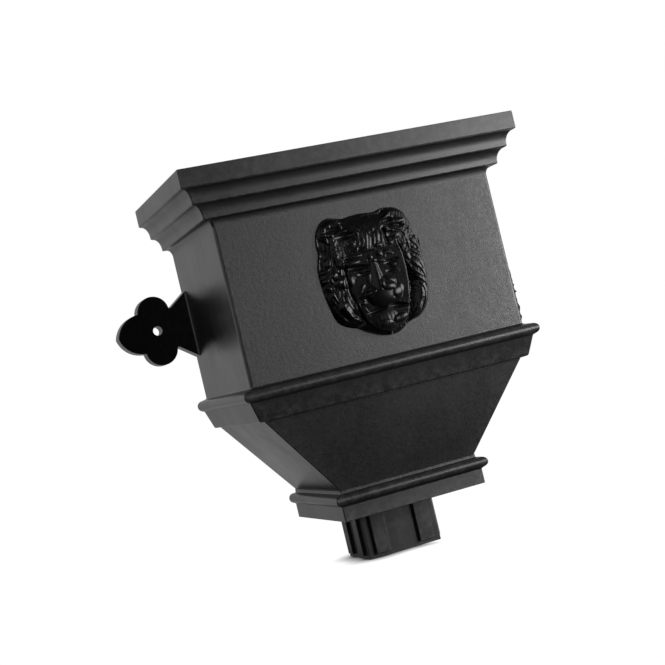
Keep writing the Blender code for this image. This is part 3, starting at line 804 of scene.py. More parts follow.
def markFinish(item):
    # "sanded" marks what the blasted half of the tool makes, most on the flat panel,
    # and "edge" marks the convex edges
    mesh = item.data
    low, high = finishMarks["panelSpan"]
    back, aside = finishMarks["facingFront"]
    sanded = mesh.attributes.new("sanded", "FLOAT", "FACE")
    for polygon in mesh.polygons:
        facesFront = polygon.normal.y < back and abs(polygon.normal.x) < aside
        inFront = polygon.center.y < finishMarks["frontOf"]
        amount = finishMarks["panelSand" if low < polygon.center.z < high else "mouldingSand"]
        if not (facesFront and inFront):
            amount = 0.0
        if polygon.center.z < shell["underside"]:
            amount = finishMarks["outletSand"][0 if facesFront else 1]
        sanded.data[polygon.index].value = amount
    bm = bmesh.new()
    bm.from_mesh(mesh)
    sharpest = [0.0] * len(bm.verts)
    for edge in bm.edges:
        if len(edge.link_faces) == 2 and edge.is_convex:
            turn = min(edge.calc_face_angle(0.0) / math.radians(finishMarks["edgeTurn"]), 1.0)
            for vert in edge.verts:
                sharpest[vert.index] = max(sharpest[vert.index], turn)
    bm.free()
    marks = mesh.attributes.new("edge", "FLOAT", "POINT")
    for index, value in enumerate(sharpest):
        marks.data[index].value = value


hopper = makeShell()
settleModifiers(hopper, addEars(hopper))
markFinish(hopper)
softenShading(hopper, shell["sharpAngle"])
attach(hopper, "root")
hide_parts("hopper_body")
edgeFlash = makeFlash(flash)
markFinish(edgeFlash)
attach(edgeFlash, "root")
print("hopper made:", len(hopper.data.polygons), "faces")


# Lion mask: a relief in millimetres from its middle, u across and v up, with heights over its back

lionOutline = (
    (0.0, 49.8), (-8.0, 49.4), (-15.0, 48.2), (-18.6, 48.4), (-22.5, 50.0), (-28.5, 50.8), (-34.4, 48.4),
    (-38.6, 43.6), (-41.2, 37.9), (-42.2, 30.5), (-42.1, 25.0), (-43.4, 19.4), (-45.4, 12.5), (-45.7, 4.0),
    (-45.0, -6.0), (-43.6, -15.0), (-41.6, -24.0), (-40.0, -29.5), (-36.8, -33.6), (-31.0, -37.0),
    (-23.5, -39.6), (-18.8, -42.8), (-12.0, -46.2), (-5.1, -48.9), (1.5, -50.0), (6.5, -49.7),
    (12.0, -47.6), (18.5, -43.8), (24.2, -41.9), (29.7, -40.6), (34.3, -37.6), (39.0, -31.6), (42.3, -23.0),
    (44.2, -13.0), (44.8, -3.0), (44.6, 7.0), (43.9, 16.0), (42.2, 21.6), (39.3, 25.6), (38.7, 31.0),
    (38.0, 37.0), (35.2, 42.6), (30.0, 47.4), (22.7, 50.6), (16.5, 50.3), (10.4, 48.7))

lion = {
    "cells": 300,
    "rimSteps": 12,  # between two points of the outline
    "wall": 0.7,  # upright side all round
    # the rise from the outline inward, and where along u it turns from the left one into the right one
    "riseFrom": (0.0, 0.5, 1.0, 1.6, 2.4, 4.0, 8.0, 11.0, 15.0),
    "riseLeft": (0.7, 1.3, 1.9, 2.4, 3.0, 4.2, 5.9, 5.9, 7.4),
    "riseRight": (0.7, 2.7, 4.2, 5.6, 6.9, 8.5, 8.6, 8.6, 8.6),
    "riseBlend": (-10, 10),
    "rimBead": (0.5, 1.0, 0.45),  # along the left rim: height, how far in, width
    "rimBeadMiddle": 16,
    "rimBeadEnds": (12, 6),  # above and below its middle
    "earFoot": (5.2, 5.0),  # level under the ears, and the rise below them
    "earFootEnd": (33, 27),
    "crownLevels": (11.0, 9.6, 8.7),  # middle, left, right
    "crownLeft": (-5, -19),
    "crownRight": (10.5, 13.5, 8.0),  # start, end, and how much further it ends at the top
    "crownTop": (33, 37),
    "crownFalls": ((6.0, -30, -35), (3.0, 31, 37)),  # depth and span along u, beside each ear
    "crownArch": (20, 29.5),  # middle and half height
    "crownBrow": (4.0, 20, 8),  # fall to the brows: depth, start and length
    "crownBrowLeft": (8, -22, -25),  # how much lower that starts at the left
    "crownBlend": 0.8,
    "temple": ((-19.5, 25.0), (14.0, 11.0), 1.1, 0, 1.5),  # middle, half lengths, depth, tilt, power
    # middle, height, rise to the right and radius of the flat part of each ear
    "ears": (((-28.0, 36.8), 7.0, 0.06, 8.6), ((24.0, 36.4), 8.7, 0.0, 9.4)),
    "earFlank": (0.8, 3.4),  # slope and width
    "earSkirt": (3.0, 12.8, 9.0),  # slope, where it starts and width
    "earBlend": 0.4,
    "faceLevel": 10.4,
    "faceTilt": 0.05,  # rise to the right
    "faceRoll": (2.4, 1.9),  # width of the rolled edge at the left and the right
    "faceRollDepth": (4.5, 6.5),
    "faceHalf": ((-47.5, 2.0), (-45.0, 9.0), (-42.0, 14.0), (-37.0, 18.5), (-30.0, 20.8), (-22.0, 23.0),
                 (-12.0, 24.8), (0.0, 25.5), (12.0, 25.0), (20.0, 23.0), (60.0, 20.0)),
    "faceTop": 26,
    "faceBlend": 0.5,
    "grooveDepth": 1.7,  # left of the face
    "grooveWidth": 0.8,
    "grooveTop": (18, 12),
    "grooveEnd": (-20, -14),
    "hollowDepth": 4.4,  # right of the face
    "hollowEdge": (-1, 1),  # across the face's edge
    "hollowWidth": (9.0, 0.15),  # at its widest, and its least share
    "hollowWiden": (8, -12),  # downward
    "hollowFlank": 6.0,
    # muzzle and chin: middle, half lengths, height, tilt and blend
    "bases": (((1.4, -17.4), (15.4, 10.6), 5.2, -4, 1.5), ((-3.0, -37.6), (12.5, 8.4), 2.8, 0, 1.2)),
    "baseLevel": 9.2,
    "noseRun": (8, -16),  # downward
    "noseMiddle": -1.6,
    "noseHalf": (3.0, 2.0),  # half width, and how much wider it gets
    "noseLevel": (11.6, 3.0),  # and how much higher it gets
    "noseFall": 2.4,  # to its sides
    "noseTop": 12,
    "noseTip": (1.6, -14.0, 9.0, 1.5),  # fall below the tip: depth, start, reach and power
    "noseBlend": 0.9,
    "moundPower": 1.3,  # above 1 softens the foot of the mounds and hollows
    "lockRound": 0.32,  # share of a lock's half width that its ridge is rounded over
    "lockTaper": (0.6, 2.5),  # share that its ends lose, and how late they lose it
    "lockSteps": 10,
    "hairAbove": 19,
    "speckle": 0.030,
    "speckleFace": 0.25,  # times weaker on the face
    "speckleHollow": 7.0,  # times stronger in the hollow beside the face
    "speckleLength": 3.6,
    "speckleSpread": (0.6, 0.8),  # shortest wave and the range above it, against the length
    "speckleWaves": 18,
    "speckleSeed": 5,
    "ridgeReach": 24,
    "ridgeHeight": 0.5,
    "ridgeBase": 0.10,
    "sharpAngle": 50,  # degrees, flatter edges are shaded smooth
}

# Each lock: three places along it, its half width and its height over the form below
lionLocks = (
    # forelock
    (((-6.6, 33.0), (-6.2, 27.0), (-8.9, 21.5)), 1.4, 0.44),
    (((-2.6, 34.0), (-2.9, 29.0), (-4.8, 20.0)), 1.8, 0.85),
    (((0.1, 30.0), (-1.1, 25.0), (-2.6, 20.0)), 1.3, 0.58),
    (((-0.3, 36.0), (0.2, 34.0), (0.3, 31.5)), 1.0, 0.37),
    (((4.3, 32.0), (3.5, 27.0), (1.7, 21.5)), 1.1, 0.39),
    (((2.5, 30.0), (2.1, 26.0), (0.9, 22.0)), 0.7, 0.21),
    (((7.1, 33.0), (6.4, 28.0), (5.1, 23.0)), 2.0, 0.86),
    (((10.6, 32.0), (10.4, 28.0), (9.6, 24.0)), 1.1, 0.46),
    (((-4.3, 40.5), (-2.7, 39.6), (-0.9, 37.4)), 1.0, 0.35),
    # curl beside the forehead
    (((-14.1, 41.1), (-9.1, 38.1), (-6.5, 33.5)), 1.0, 0.52),
    (((-15.1, 39.5), (-12.1, 37.3), (-9.1, 34.3)), 1.0, 0.52),
    (((-13.4, 37.7), (-10.8, 36.7), (-9.6, 34.7)), 0.7, 0.31),
    (((-10.8, 31.5), (-9.4, 26.5), (-13.2, 21.7)), 1.1, 0.57),
    (((-11.6, 23.5), (-13.8, 20.7), (-17.0, 21.7)), 1.3, 0.57),
    (((-13.4, 30.1), (-12.6, 27.5), (-14.4, 24.5)), 0.8, 0.27),
    (((-19.0, 25.1), (-14.8, 25.3), (-14.4, 29.1)), 1.6, 0.80),
    (((-25.7, 29.1), (-22.5, 29.3), (-18.7, 26.9)), 1.0, 0.37),
    (((-26.9, 26.5), (-24.5, 26.9), (-21.3, 25.5)), 0.9, 0.33),
    (((-32.7, 24.3), (-29.3, 25.9), (-25.1, 25.3)), 0.9, 0.34),
    (((-32.9, 20.5), (-28.3, 22.9), (-23.5, 21.9)), 0.9, 0.34),
    (((-34.0, 18.9), (-31.2, 20.5), (-27.6, 20.9)), 0.7, 0.21),
    (((-33.1, 15.9), (-31.3, 18.3), (-28.5, 19.7)), 0.9, 0.30),
    (((-34.8, 14.9), (-34.0, 17.3), (-32.4, 18.9)), 0.7, 0.19),
    (((-28.9, 14.7), (-27.0, 16.5), (-24.6, 17.7)), 0.8, 0.27),
    (((-29.8, 28.1), (-28.6, 30.3), (-26.3, 32.3)), 1.0, 0.37),
    # left ear
    (((-38.8, 42.4), (-39.4, 38.4), (-40.0, 33.4)), 1.3, 0.29),
    (((-36.0, 45.4), (-36.4, 41.4), (-36.8, 37.4)), 1.3, 0.38),
    (((-34.5, 45.4), (-34.5, 42.4), (-34.9, 39.4)), 1.0, 0.28),
    (((-34.4, 37.8), (-36.2, 36.4), (-37.2, 33.4)), 1.4, 0.47),
    (((-35.3, 36.4), (-34.7, 33.4), (-34.5, 30.4)), 1.1, 0.34),
    (((-29.8, 44.8), (-30.6, 43.0), (-31.8, 41.2)), 1.5, 0.51),
    (((-27.9, 35.4), (-24.9, 37.2), (-22.9, 37.8)), 1.3, 0.38),
    (((-23.3, 46.2), (-20.1, 45.2), (-16.9, 44.0)), 0.9, 0.55),
    (((-32.8, 28.4), (-33.2, 24.4), (-33.8, 20.4)), 1.8, 0.20),
    (((-42.5, 40.4), (-43.3, 34.4), (-43.7, 27.4)), 1.0, 0.62),
    (((-40.7, 41.4), (-41.5, 36.4), (-41.7, 30.4)), 1.0, 0.48),
    (((-37.0, 31.4), (-37.6, 27.4), (-37.8, 22.4)), 1.4, 0.41),
    (((-39.6, 30.4), (-40.0, 27.4), (-39.8, 24.4)), 1.1, 0.44),
    # left mane
    (((-37.2, 19.4), (-37.6, 15.4), (-38.5, 11.4)), 3.8, 2.31),
    (((-41.5, 18.4), (-41.8, 16.4), (-42.0, 13.4)), 1.7, 0.40),
    (((-34.7, 7.8), (-35.3, 4.8), (-36.7, 2.2)), 3.0, 1.82),
    (((-33.7, 1.8), (-34.1, -1.6), (-35.7, -5.2)), 3.9, 2.39),
    (((-37.4, 5.0), (-37.8, 1.8), (-37.0, -1.6)), 1.5, 0.78),
    (((-43.0, -3.0), (-41.4, -4.0), (-40.0, -6.4)), 2.8, 1.68),
    (((-38.2, -2.6), (-37.8, -5.0), (-38.6, -8.0)), 1.4, 0.68),
    (((-38.0, -8.2), (-38.6, -10.6), (-36.4, -16.2)), 1.4, 0.91),
    (((-31.3, -7.6), (-32.3, -11.6), (-36.0, -16.4)), 1.4, 0.91),
    (((-34.5, -7.0), (-34.3, -10.0), (-35.5, -14.2)), 1.3, 0.73),
    (((-32.1, -12.2), (-32.7, -14.6), (-34.7, -18.6)), 1.3, 0.73),
    (((-32.8, -15.6), (-32.0, -22.6), (-26.7, -31.2)), 4.1, 2.53),
    (((-28.8, -14.0), (-28.4, -19.2), (-25.8, -25.0)), 1.3, 0.54),
    (((-36.0, -19.2), (-35.0, -23.6), (-31.8, -29.2)), 1.5, 0.52),
    (((-28.9, -29.4), (-26.2, -32.0), (-22.6, -33.0)), 2.2, 1.27),
    (((-30.5, -28.6), (-28.6, -32.2), (-26.2, -35.0)), 1.3, 0.62),
    (((-24.3, -33.0), (-22.1, -34.6), (-19.3, -35.8)), 1.5, 0.73),
    (((-31.4, 10.4), (-31.8, 8.0), (-32.2, 5.4)), 1.0, 0.45),
    (((-28.7, 10.4), (-29.1, 7.4), (-29.3, 3.4)), 0.9, 0.35),
    (((-30.4, 18.4), (-31.6, 15.4), (-32.4, 11.4)), 1.1, 0.18),
    (((-29.2, 1.0), (-29.6, -3.6), (-29.0, -8.6)), 1.1, 0.47),
    (((-43.0, 23.4), (-44.4, 16.4), (-45.6, 9.4)), 0.9, 0.59),
    (((-44.6, 8.4), (-45.0, 4.4), (-44.8, 0.4)), 0.9, 0.48),
    (((-44.1, -7.6), (-43.1, -12.6), (-41.4, -17.6)), 1.0, 0.45),
    (((-40.9, -8.6), (-40.9, -12.6), (-39.5, -17.6)), 1.1, 0.49),
    (((-39.9, -18.6), (-39.1, -23.6), (-36.9, -28.6)), 1.1, 0.40),
    (((-36.3, -26.6), (-34.5, -30.2), (-31.3, -33.2)), 1.3, 0.54),
    (((-38.8, -12.2), (-39.0, -15.0), (-37.4, -19.2)), 0.9, 0.45),
    # right ear
    (((19.9, 36.8), (21.9, 37.4), (24.1, 39.0)), 1.3, 0.43),
    (((18.8, 33.0), (25.1, 31.8), (31.7, 25.6)), 1.4, 0.55),
    (((18.0, 30.4), (23.6, 30.4), (28.0, 27.2)), 1.0, 0.17),
    (((16.0, 36.6), (18.6, 37.2), (21.5, 36.6)), 0.9, 0.17),
    # right mane
    (((32.1, 21.2), (32.1, 17.8), (32.3, 14.2)), 1.6, 0.42),
    (((33.4, 20.8), (35.8, 19.8), (38.0, 16.2)), 1.8, 0.48),
    (((33.1, 17.8), (34.5, 15.6), (37.5, 12.8)), 1.7, 0.48),
    (((37.5, 17.6), (39.3, 14.8), (40.1, 11.2)), 1.3, 0.33),
    (((32.9, 13.0), (35.1, 10.8), (39.5, 7.8)), 1.7, 0.52),
    (((37.1, 13.2), (39.1, 11.2), (40.7, 8.2)), 1.1, 0.30),
    (((28.0, 12.2), (28.8, 8.2), (30.4, 5.2)), 2.6, 0.74),
    (((31.9, 9.8), (33.5, 8.0), (39.1, 4.0)), 1.6, 0.48),
    (((31.2, 5.8), (33.8, 1.6), (37.4, -2.4)), 3.2, 1.03),
    (((35.6, 4.8), (38.2, 1.8), (40.0, -2.4)), 1.4, 0.39),
    (((31.6, -1.8), (33.6, -5.4), (38.0, -9.4)), 2.8, 0.88),
    (((37.0, -2.6), (39.0, -5.8), (40.0, -10.8)), 1.5, 0.42),
    (((31.9, -8.2), (34.9, -10.4), (38.7, -14.8)), 2.1, 0.62),
    (((33.8, -14.2), (36.4, -17.8), (36.8, -23.8)), 2.0, 0.66),
    (((38.7, -12.8), (39.5, -17.4), (38.5, -23.8)), 1.1, 0.39),
    (((32.7, -16.8), (34.1, -21.8), (31.9, -28.8)), 2.5, 0.81),
    (((36.3, -22.2), (36.1, -27.8), (31.7, -34.4)), 1.3, 0.46),
    (((38.0, -25.4), (36.4, -30.8), (30.4, -36.8)), 1.0, 0.37),
    (((31.5, -26.8), (29.9, -31.8), (25.4, -36.4)), 1.7, 0.48),
    (((26.2, 20.8), (27.8, 18.6), (26.2, 15.2)), 1.0, 0.23),
    (((29.2, 21.8), (28.4, 18.2), (27.8, 14.8)), 1.0, 0.21),
    (((20.2, 17.6), (21.4, 16.6), (23.0, 14.0)), 1.3, 0.33),
    # brows and lids
    (((2.0, 17.8), (4.2, 15.0), (6.6, 13.0)), 2.6, 0.90),
    (((8.6, 11.2), (10.2, 14.8), (15.6, 12.6)), 2.1, 0.70),
    (((-2.7, 10.4), (2.1, 9.8), (7.7, 8.0)), 2.3, 0.78),
    (((-5.7, 12.6), (-3.5, 13.8), (-2.5, 11.0)), 1.4, 0.55),
    (((10.1, 6.6), (14.3, 8.2), (19.1, 5.4)), 1.0, 0.31),
    (((10.7, -0.6), (14.1, -2.2), (18.5, -1.4)), 1.0, 0.31),
    (((11.0, 1.4), (14.4, -0.2), (17.8, 0.4)), 0.8, 0.19),
    (((-19.9, 3.4), (-15.3, 6.8), (-9.3, 5.4)), 1.0, 0.21),
    (((-22.9, 2.0), (-21.3, 0.6), (-19.5, -1.0)), 1.0, 0.35),
    (((-17.9, 0.6), (-13.3, -0.8), (-9.1, 1.2)), 0.9, 0.15),
    # jaw
    (((-24.4, -17.9), (-23.4, -21.9), (-23.8, -25.9)), 0.9, 0.37),
    (((-21.6, -19.5), (-21.4, -22.9), (-20.4, -26.3)), 0.9, 0.33),
    (((-22.2, -27.5), (-20.8, -30.3), (-18.6, -32.5)), 0.9, 0.33),
    (((-17.4, -24.5), (-16.2, -27.3), (-14.4, -29.5)), 0.9, 0.28),
    (((-19.1, -29.9), (-18.7, -34.9), (-16.7, -39.9)), 1.5, 0.18),
    (((-15.1, -30.9), (-14.7, -35.9), (-13.1, -41.9)), 1.5, 0.15),
    (((-11.0, -32.9), (-10.8, -37.9), (-9.4, -43.9)), 1.4, 0.14),
    (((-7.4, -32.9), (-7.0, -37.9), (-6.2, -44.9)), 1.3, 0.10),
    (((-0.9, -32.9), (-0.5, -37.9), (-0.5, -43.9)), 1.1, 0.11),
    (((2.3, -32.9), (2.7, -37.9), (2.3, -43.9)), 1.1, 0.11),
    (((5.5, -32.9), (5.9, -37.9), (5.3, -42.9)), 1.1, 0.11),
)

# Each mound: its middle, half lengths, height and tilt in degrees
lionMounds = (
    # brows and eyes
    ((-21.0, 11.2), (8.4, 2.7), 1.9, 3),
    ((-18.4, 16.2), (8.4, 1.8), 1.1, 0),
    ((-12.6, 3.8), (3.2, 2.3), 1.3, -8),
    ((13.4, 4.6), (2.9, 2.2), 1.2, 8),
    # cheeks
    ((-28.0, -1.6), (7.4, 5.4), 1.5, -10),
    ((-8.6, -2.8), (2.6, 5.4), 0.6, 0),
    ((-17.0, -10.4), (5.2, 1.9), 0.9, 42),
    # whisker pads
    ((5.6, -9.4), (7.4, 6.2), 2.4, 0),
    ((12.4, -17.0), (6.4, 4.6), 1.0, 50),
    ((-15.4, -14.8), (5.0, 3.4), 1.5, 14),
    ((-11.0, -14.8), (5.4, 1.5), 1.0, 14),
    ((-17.6, -21.0), (2.4, 2.2), 1.2, 0),
    # chin
    ((-3.4, -40.4), (5.4, 3.2), 0.8, 0),
    ((9.4, -38.2), (6.4, 3.4), 1.2, 14),
    # left ear and mane
    ((-33.6, 36.8), (5.4, 1.9), 1.3, -10),
    ((-22.6, 36.8), (5.8, 1.7), 1.2, 10),
    ((-42.8, 22.4), (2.4, 2.4), 1.4, 0),
    ((-22.0, 42.2), (2.4, 1.8), 0.5, 0),
    ((-42.0, 9.2), (4.2, 1.9), 2.3, 14),
    ((-43.4, 1.8), (4.2, 2.5), 2.5, 12),
    # right ear and the knobs beside it
    ((16.8, 42.0), (5.6, 1.9), 1.4, 22),
    ((26.6, 37.2), (6.4, 2.6), 1.5, 0),
    ((22.6, 26.6), (3.6, 3.2), 1.7, 0),
    ((19.8, 24.4), (1.4, 1.4), 0.5, 0),
    ((16.0, 33.6), (2.2, 2.0), 0.8, 0),
    ((15.6, 21.3), (2.4, 1.9), 0.8, 0),
    ((4.2, 35.2), (1.6, 1.5), 0.5, 0),
    ((4.4, 45.4), (2.4, 1.2), 0.4, -15),
    ((5.0, 21.4), (3.6, 1.6), 0.9, 0),
)

# Each hollow: middle, half lengths, depth and tilt
lionHollows = (
    ((-16.0, 7.0), (11.0, 2.6), 2.4, -4),
    ((13.4, 6.8), (6.8, 2.6), 1.8, 6),
    ((-5.0, 11.4), (1.2, 1.2), 1.0, 0),
    ((8.4, -20.8), (1.6, 1.2), 0.7, 0),
    ((-11.5, 1.5), (5.4, 2.6), 1.1, 0),
    ((11.0, 0.4), (4.4, 2.0), 0.8, 10),
    ((-13.0, -19.6), (4.0, 2.4), 0.4, -50),
    ((10.5, -28.4), (9.0, 2.4), 3.0, -10),
    ((-7.5, -29.0), (9.0, 1.9), 1.6, 6),
    ((-20.5, 33.8), (8.8, 3.4), 2.8, 4),
    ((-26.0, 40.4), (8.0, 1.8), 0.9, -4),
    ((-7.8, 29.6), (1.2, 5.0), 0.9, 0),
    ((13.9, 28.4), (1.9, 6.0), 2.6, 0),
    ((18.6, 28.0), (4.2, 3.4), 1.4, 0),
    ((18.8, 39.8), (4.6, 1.6), 1.3, 8),
    ((18.6, 35.0), (4.6, 1.2), 0.9, -4),
    ((28.0, 34.2), (5.0, 1.3), 1.3, -14),
    ((24.0, 17.0), (1.3, 5.0), 2.0, 14),
)


def smoothMax(first, second, blend):
    share = np.clip(0.5 + 0.5 * (first - second) / blend, 0.0, 1.0)
    return second * (1 - share) + first * share + blend * share * (1 - share)


def ramp(value, start, end):
    # 0 at the start and before it, 1 from the end on; it may run either way
    return np.clip((value - start) / (end - start), 0.0, 1.0)


def softRamp(value, start, end):
    share = ramp(value, start, end)
    return share * share * (3 - 2 * share)


def closedCurve(points, steps):
    # A smooth closed line through the points
    fine = []
    count = len(points)
    for index in range(count):
        before, start, end, after = (Vector(points[(index + shift) % count]) for shift in (-1, 0, 1, 2))
        for step in range(steps):
            t = step / steps
            bend = 2 * before - 5 * start + 4 * end - after
            curl = 3 * start - before - 3 * end + after
            fine.append(0.5 * (2 * start + (end - before) * t + bend * t * t + curl * t ** 3))
    return np.array(fine)


def lionGrid(look):
    # A square grid bent to the outline: its places and how far each is in from the rim
    rim = closedCurve(lionOutline, look["rimSteps"])
    bearing = np.arctan2(rim[:, 1], rim[:, 0])
    order = np.argsort(bearing)
    length = np.hypot(rim[:, 0], rim[:, 1])
    line = np.linspace(-1, 1, look["cells"] + 1)
    across, up = np.meshgrid(line, line, indexing="xy")
    share = np.maximum(np.abs(across), np.abs(up))
    angle = np.arctan2(up * np.sqrt(1 - across ** 2 / 2), across * np.sqrt(1 - up ** 2 / 2))
    reach = np.interp(angle, bearing[order], length[order], period=2 * math.pi)
    return reach * share * np.cos(angle), reach * share * np.sin(angle), reach * (1 - share)


def mound(u, v, middle, halves, tilt):
    # 1 on top, 0 at its rim and below 0 outside
    turn = math.radians(tilt)
    du, dv = u - middle[0], v - middle[1]
    along = (du * math.cos(turn) + dv * math.sin(turn)) / halves[0]
    across = (-du * math.sin(turn) + dv * math.cos(turn)) / halves[1]
    away = np.hypot(along, across)
    return np.where(away < 1, np.sqrt(np.clip(1 - away ** 2, 0, 1)), 3 * (1 - away))


def swelling(u, v, middle, halves, height, tilt, power):
    return height * np.clip(mound(u, v, middle, halves, tilt), 0, 1) ** power


def lock(u, v, path, half, look):
    # Height share of a tapering lock along a curved path, -1 outside it
    start, middle, end = (np.array(point, dtype=float) for point in path)
    steps, ridge, (loss, lateness) = look["lockSteps"], look["lockRound"], look["lockTaper"]
    t = np.linspace(0, 1, steps + 1)[:, None]
    line = start * (1 - t) ** 2 + (2 * middle - (start + end) / 2) * 2 * t * (1 - t) + end * t ** 2
    low, high = line.min(axis=0) - half, line.max(axis=0) + half
    near = (u > low[0]) & (u < high[0]) & (v > low[1]) & (v < high[1])
    pu, pv = u[near], v[near]
    best = np.full(pu.shape, half * 2.0)
    place = np.zeros(pu.shape)
    for index in range(steps):
        du, dv = line[index + 1] - line[index]
        along = ((pu - line[index, 0]) * du + (pv - line[index, 1]) * dv) / (du * du + dv * dv)
        held = np.clip(along, 0, 1)
        away = np.hypot(pu - line[index, 0] - held * du, pv - line[index, 1] - held * dv)
        place = np.where(away < best, (index + held) / steps, place)
        best = np.minimum(best, away)
    width = half * (1.0 - loss * np.abs(2 * place - 1) ** lateness)
    reach = np.minimum(best / width, 1.0)
    fall = (np.sqrt(reach ** 2 + ridge ** 2) - ridge) / (math.sqrt(1 + ridge ** 2) - ridge)
    share = np.full(u.shape, -1.0)
    share[near] = np.where(reach < 1, (1 - fall) * width / half, -1.0)
    return share


def speckle(u, v, look):
    # A fine uneven surface from crossing waves
    shortest, spread = look["speckleSpread"]
    waves = np.random.default_rng(look["speckleSeed"])
    total = np.zeros(u.shape)
    for heading, phase, stretch in waves.uniform(0, 1, (look["speckleWaves"], 3)):
        turn = heading * math.pi
        number = 2 * math.pi / (look["speckleLength"] * (shortest + spread * stretch))
        total = total + np.sin((u * math.cos(turn) + v * math.sin(turn)) * number + phase * 2 * math.pi)
    return total / math.sqrt(look["speckleWaves"] / 2)


def headForm(u, v, inward, look):
    # The rise from the rim, the top of the head and the ears
    toRight = ramp(u, *look["riseBlend"])
    riseLeft = np.interp(inward, look["riseFrom"], look["riseLeft"])
    riseRight = np.interp(inward, look["riseFrom"], look["riseRight"])
    form = riseLeft + (riseRight - riseLeft) * toRight
    height, place, width = look["rimBead"]
    beadEnds = softRamp(np.abs(v - look["rimBeadMiddle"]), *look["rimBeadEnds"])
    form = form + height * np.exp(-((inward - place) / width) ** 2) * beadEnds * (1 - toRight)
    foot, rise = look["earFoot"]
    form = np.minimum(form, foot + rise * softRamp(v, *look["earFootEnd"]))

    middle, left, right = look["crownLevels"]
    start, end, further = look["crownRight"]
    crown = middle - (middle - left) * softRamp(u, *look["crownLeft"])
    crown = crown - (middle - right) * softRamp(u, start, end + further * softRamp(v, *look["crownTop"]))
    for depth, start, end in look["crownFalls"]:
        crown = crown - depth * softRamp(u, start, end)
    archMiddle, archHalf = look["crownArch"]
    crown = crown * np.sqrt(np.clip(1 - ((v - archMiddle) / archHalf) ** 2, 0, 1))
    depth, start, length = look["crownBrow"]
    lower, *span = look["crownBrowLeft"]
    start = start - lower * softRamp(u, *span)
    crown = crown - depth * softRamp(v, start, start - length)
    form = smoothMax(form, crown, look["crownBlend"])
    form = form - swelling(u, v, *look["temple"])

    slope, width = look["earFlank"]
    skirtSlope, skirtStart, skirtWidth = look["earSkirt"]
    for middle, level, lean, flat in look["ears"]:
        away = np.hypot(u - middle[0], v - middle[1])
        lobe = level + lean * (u - middle[0]) - slope * np.clip(away - flat, 0, width)
        lobe = lobe - skirtSlope * np.clip(away - skirtStart, 0, skirtWidth)
        form = smoothMax(form, lobe, look["earBlend"])
    return form


def faceForm(u, v, form, look):
    # The face, nearly flat with rolled edges, and the groove and the hollow beside it;
    # also how far each place is outside the face, and how far in the hollow
    levels, halves = zip(*look["faceHalf"])
    gap = np.abs(u) - np.interp(v, levels, halves)
    atRight = u > 0
    fade = ramp(v, *look["grooveTop"])
    widest, least = look["hollowWidth"]
    width = widest * np.maximum(ramp(v, *look["hollowWiden"]), least)
    hollow = ramp(gap, *look["hollowEdge"]) * ramp(gap, width, width - look["hollowFlank"])
    groove = np.exp(-(gap / look["grooveWidth"]) ** 2) * ramp(v, *look["grooveEnd"])
    form = form - np.where(atRight, look["hollowDepth"] * hollow, look["grooveDepth"] * groove) * fade
    rollLeft, rollRight = look["faceRoll"]
    depthLeft, depthRight = look["faceRollDepth"]
    roll = np.clip(1 + gap / np.where(atRight, rollRight, rollLeft), 0, 1)
    rolled = np.where(atRight, depthRight, depthLeft) * (1 - np.sqrt(np.clip(1 - roll ** 2, 0, 1)))
    face = np.where(gap < 0, look["faceLevel"] + look["faceTilt"] * u - rolled, 0.0)
    form = np.where(v < look["faceTop"], smoothMax(form, face, look["faceBlend"]), form)
    return form, gap, np.where(atRight, hollow, 0) * fade


def muzzleForm(u, v, form, look):
    # Muzzle and chin, with the nose over them
    for middle, halves, height, tilt, blend in look["bases"]:
        form = smoothMax(form, look["baseLevel"] + height * mound(u, v, middle, halves, tilt), blend)
    run = ramp(v, *look["noseRun"])
    half, widening = look["noseHalf"]
    level, rise = look["noseLevel"]
    depth, start, reach, power = look["noseTip"]
    aside = (u - look["noseMiddle"]) / (half + widening * run)
    bridge = level + rise * np.sin(run * math.pi / 2) - look["noseFall"] * aside ** 2
    bridge = bridge - depth * np.clip(start - v, 0, reach) ** power
    return smoothMax(form, np.where(v < look["noseTop"], bridge, 0.0), look["noseBlend"])


def lionForm(u, v, inward, look):
    form = headForm(u, v, inward, look)
    form, gap, hollow = faceForm(u, v, form, look)
    form = muzzleForm(u, v, form, look)
    for middle, halves, height, tilt in lionMounds:
        form = form + swelling(u, v, middle, halves, height, tilt, look["moundPower"])
    for middle, halves, depth, tilt in lionHollows:
        form = form - swelling(u, v, middle, halves, depth, tilt, look["moundPower"])

    # hair over it all, and a fine unevenness in the hair and the hollow beside the face
    hair = np.zeros(u.shape)
    for path, width, height in lionLocks:
        hair = np.maximum(hair, lock(u, v, path, width, look) * height)
    inHair = (gap > 0) | (v > look["hairAbove"])
    rough = np.where(inHair, 1.0, look["speckleFace"]) + look["speckleHollow"] * hollow
    return form + hair + look["speckle"] * rough * speckle(u, v, look)


def markRidgesAndHollowShade(mesh, height, rest, look):
    # "edge" marks what stands out of its smoothed surroundings, so the ridges turn paler and the hollows
    # stay dark as dirt and painted shade; the rest of the points have none
    smooth = height.copy()
    for passes in range(look["ridgeReach"]):
        around = smooth[:-2, 1:-1] + smooth[2:, 1:-1] + smooth[1:-1, :-2] + smooth[1:-1, 2:]
        smooth[1:-1, 1:-1] = around / 4
    ridges = np.clip(look["ridgeBase"] + (height - smooth) / look["ridgeHeight"], 0, 1).ravel()
    edge = mesh.attributes.new("edge", "FLOAT", "POINT")
    edge.data.foreach_set("value", np.concatenate([ridges, np.zeros(rest)]).astype(np.float32))


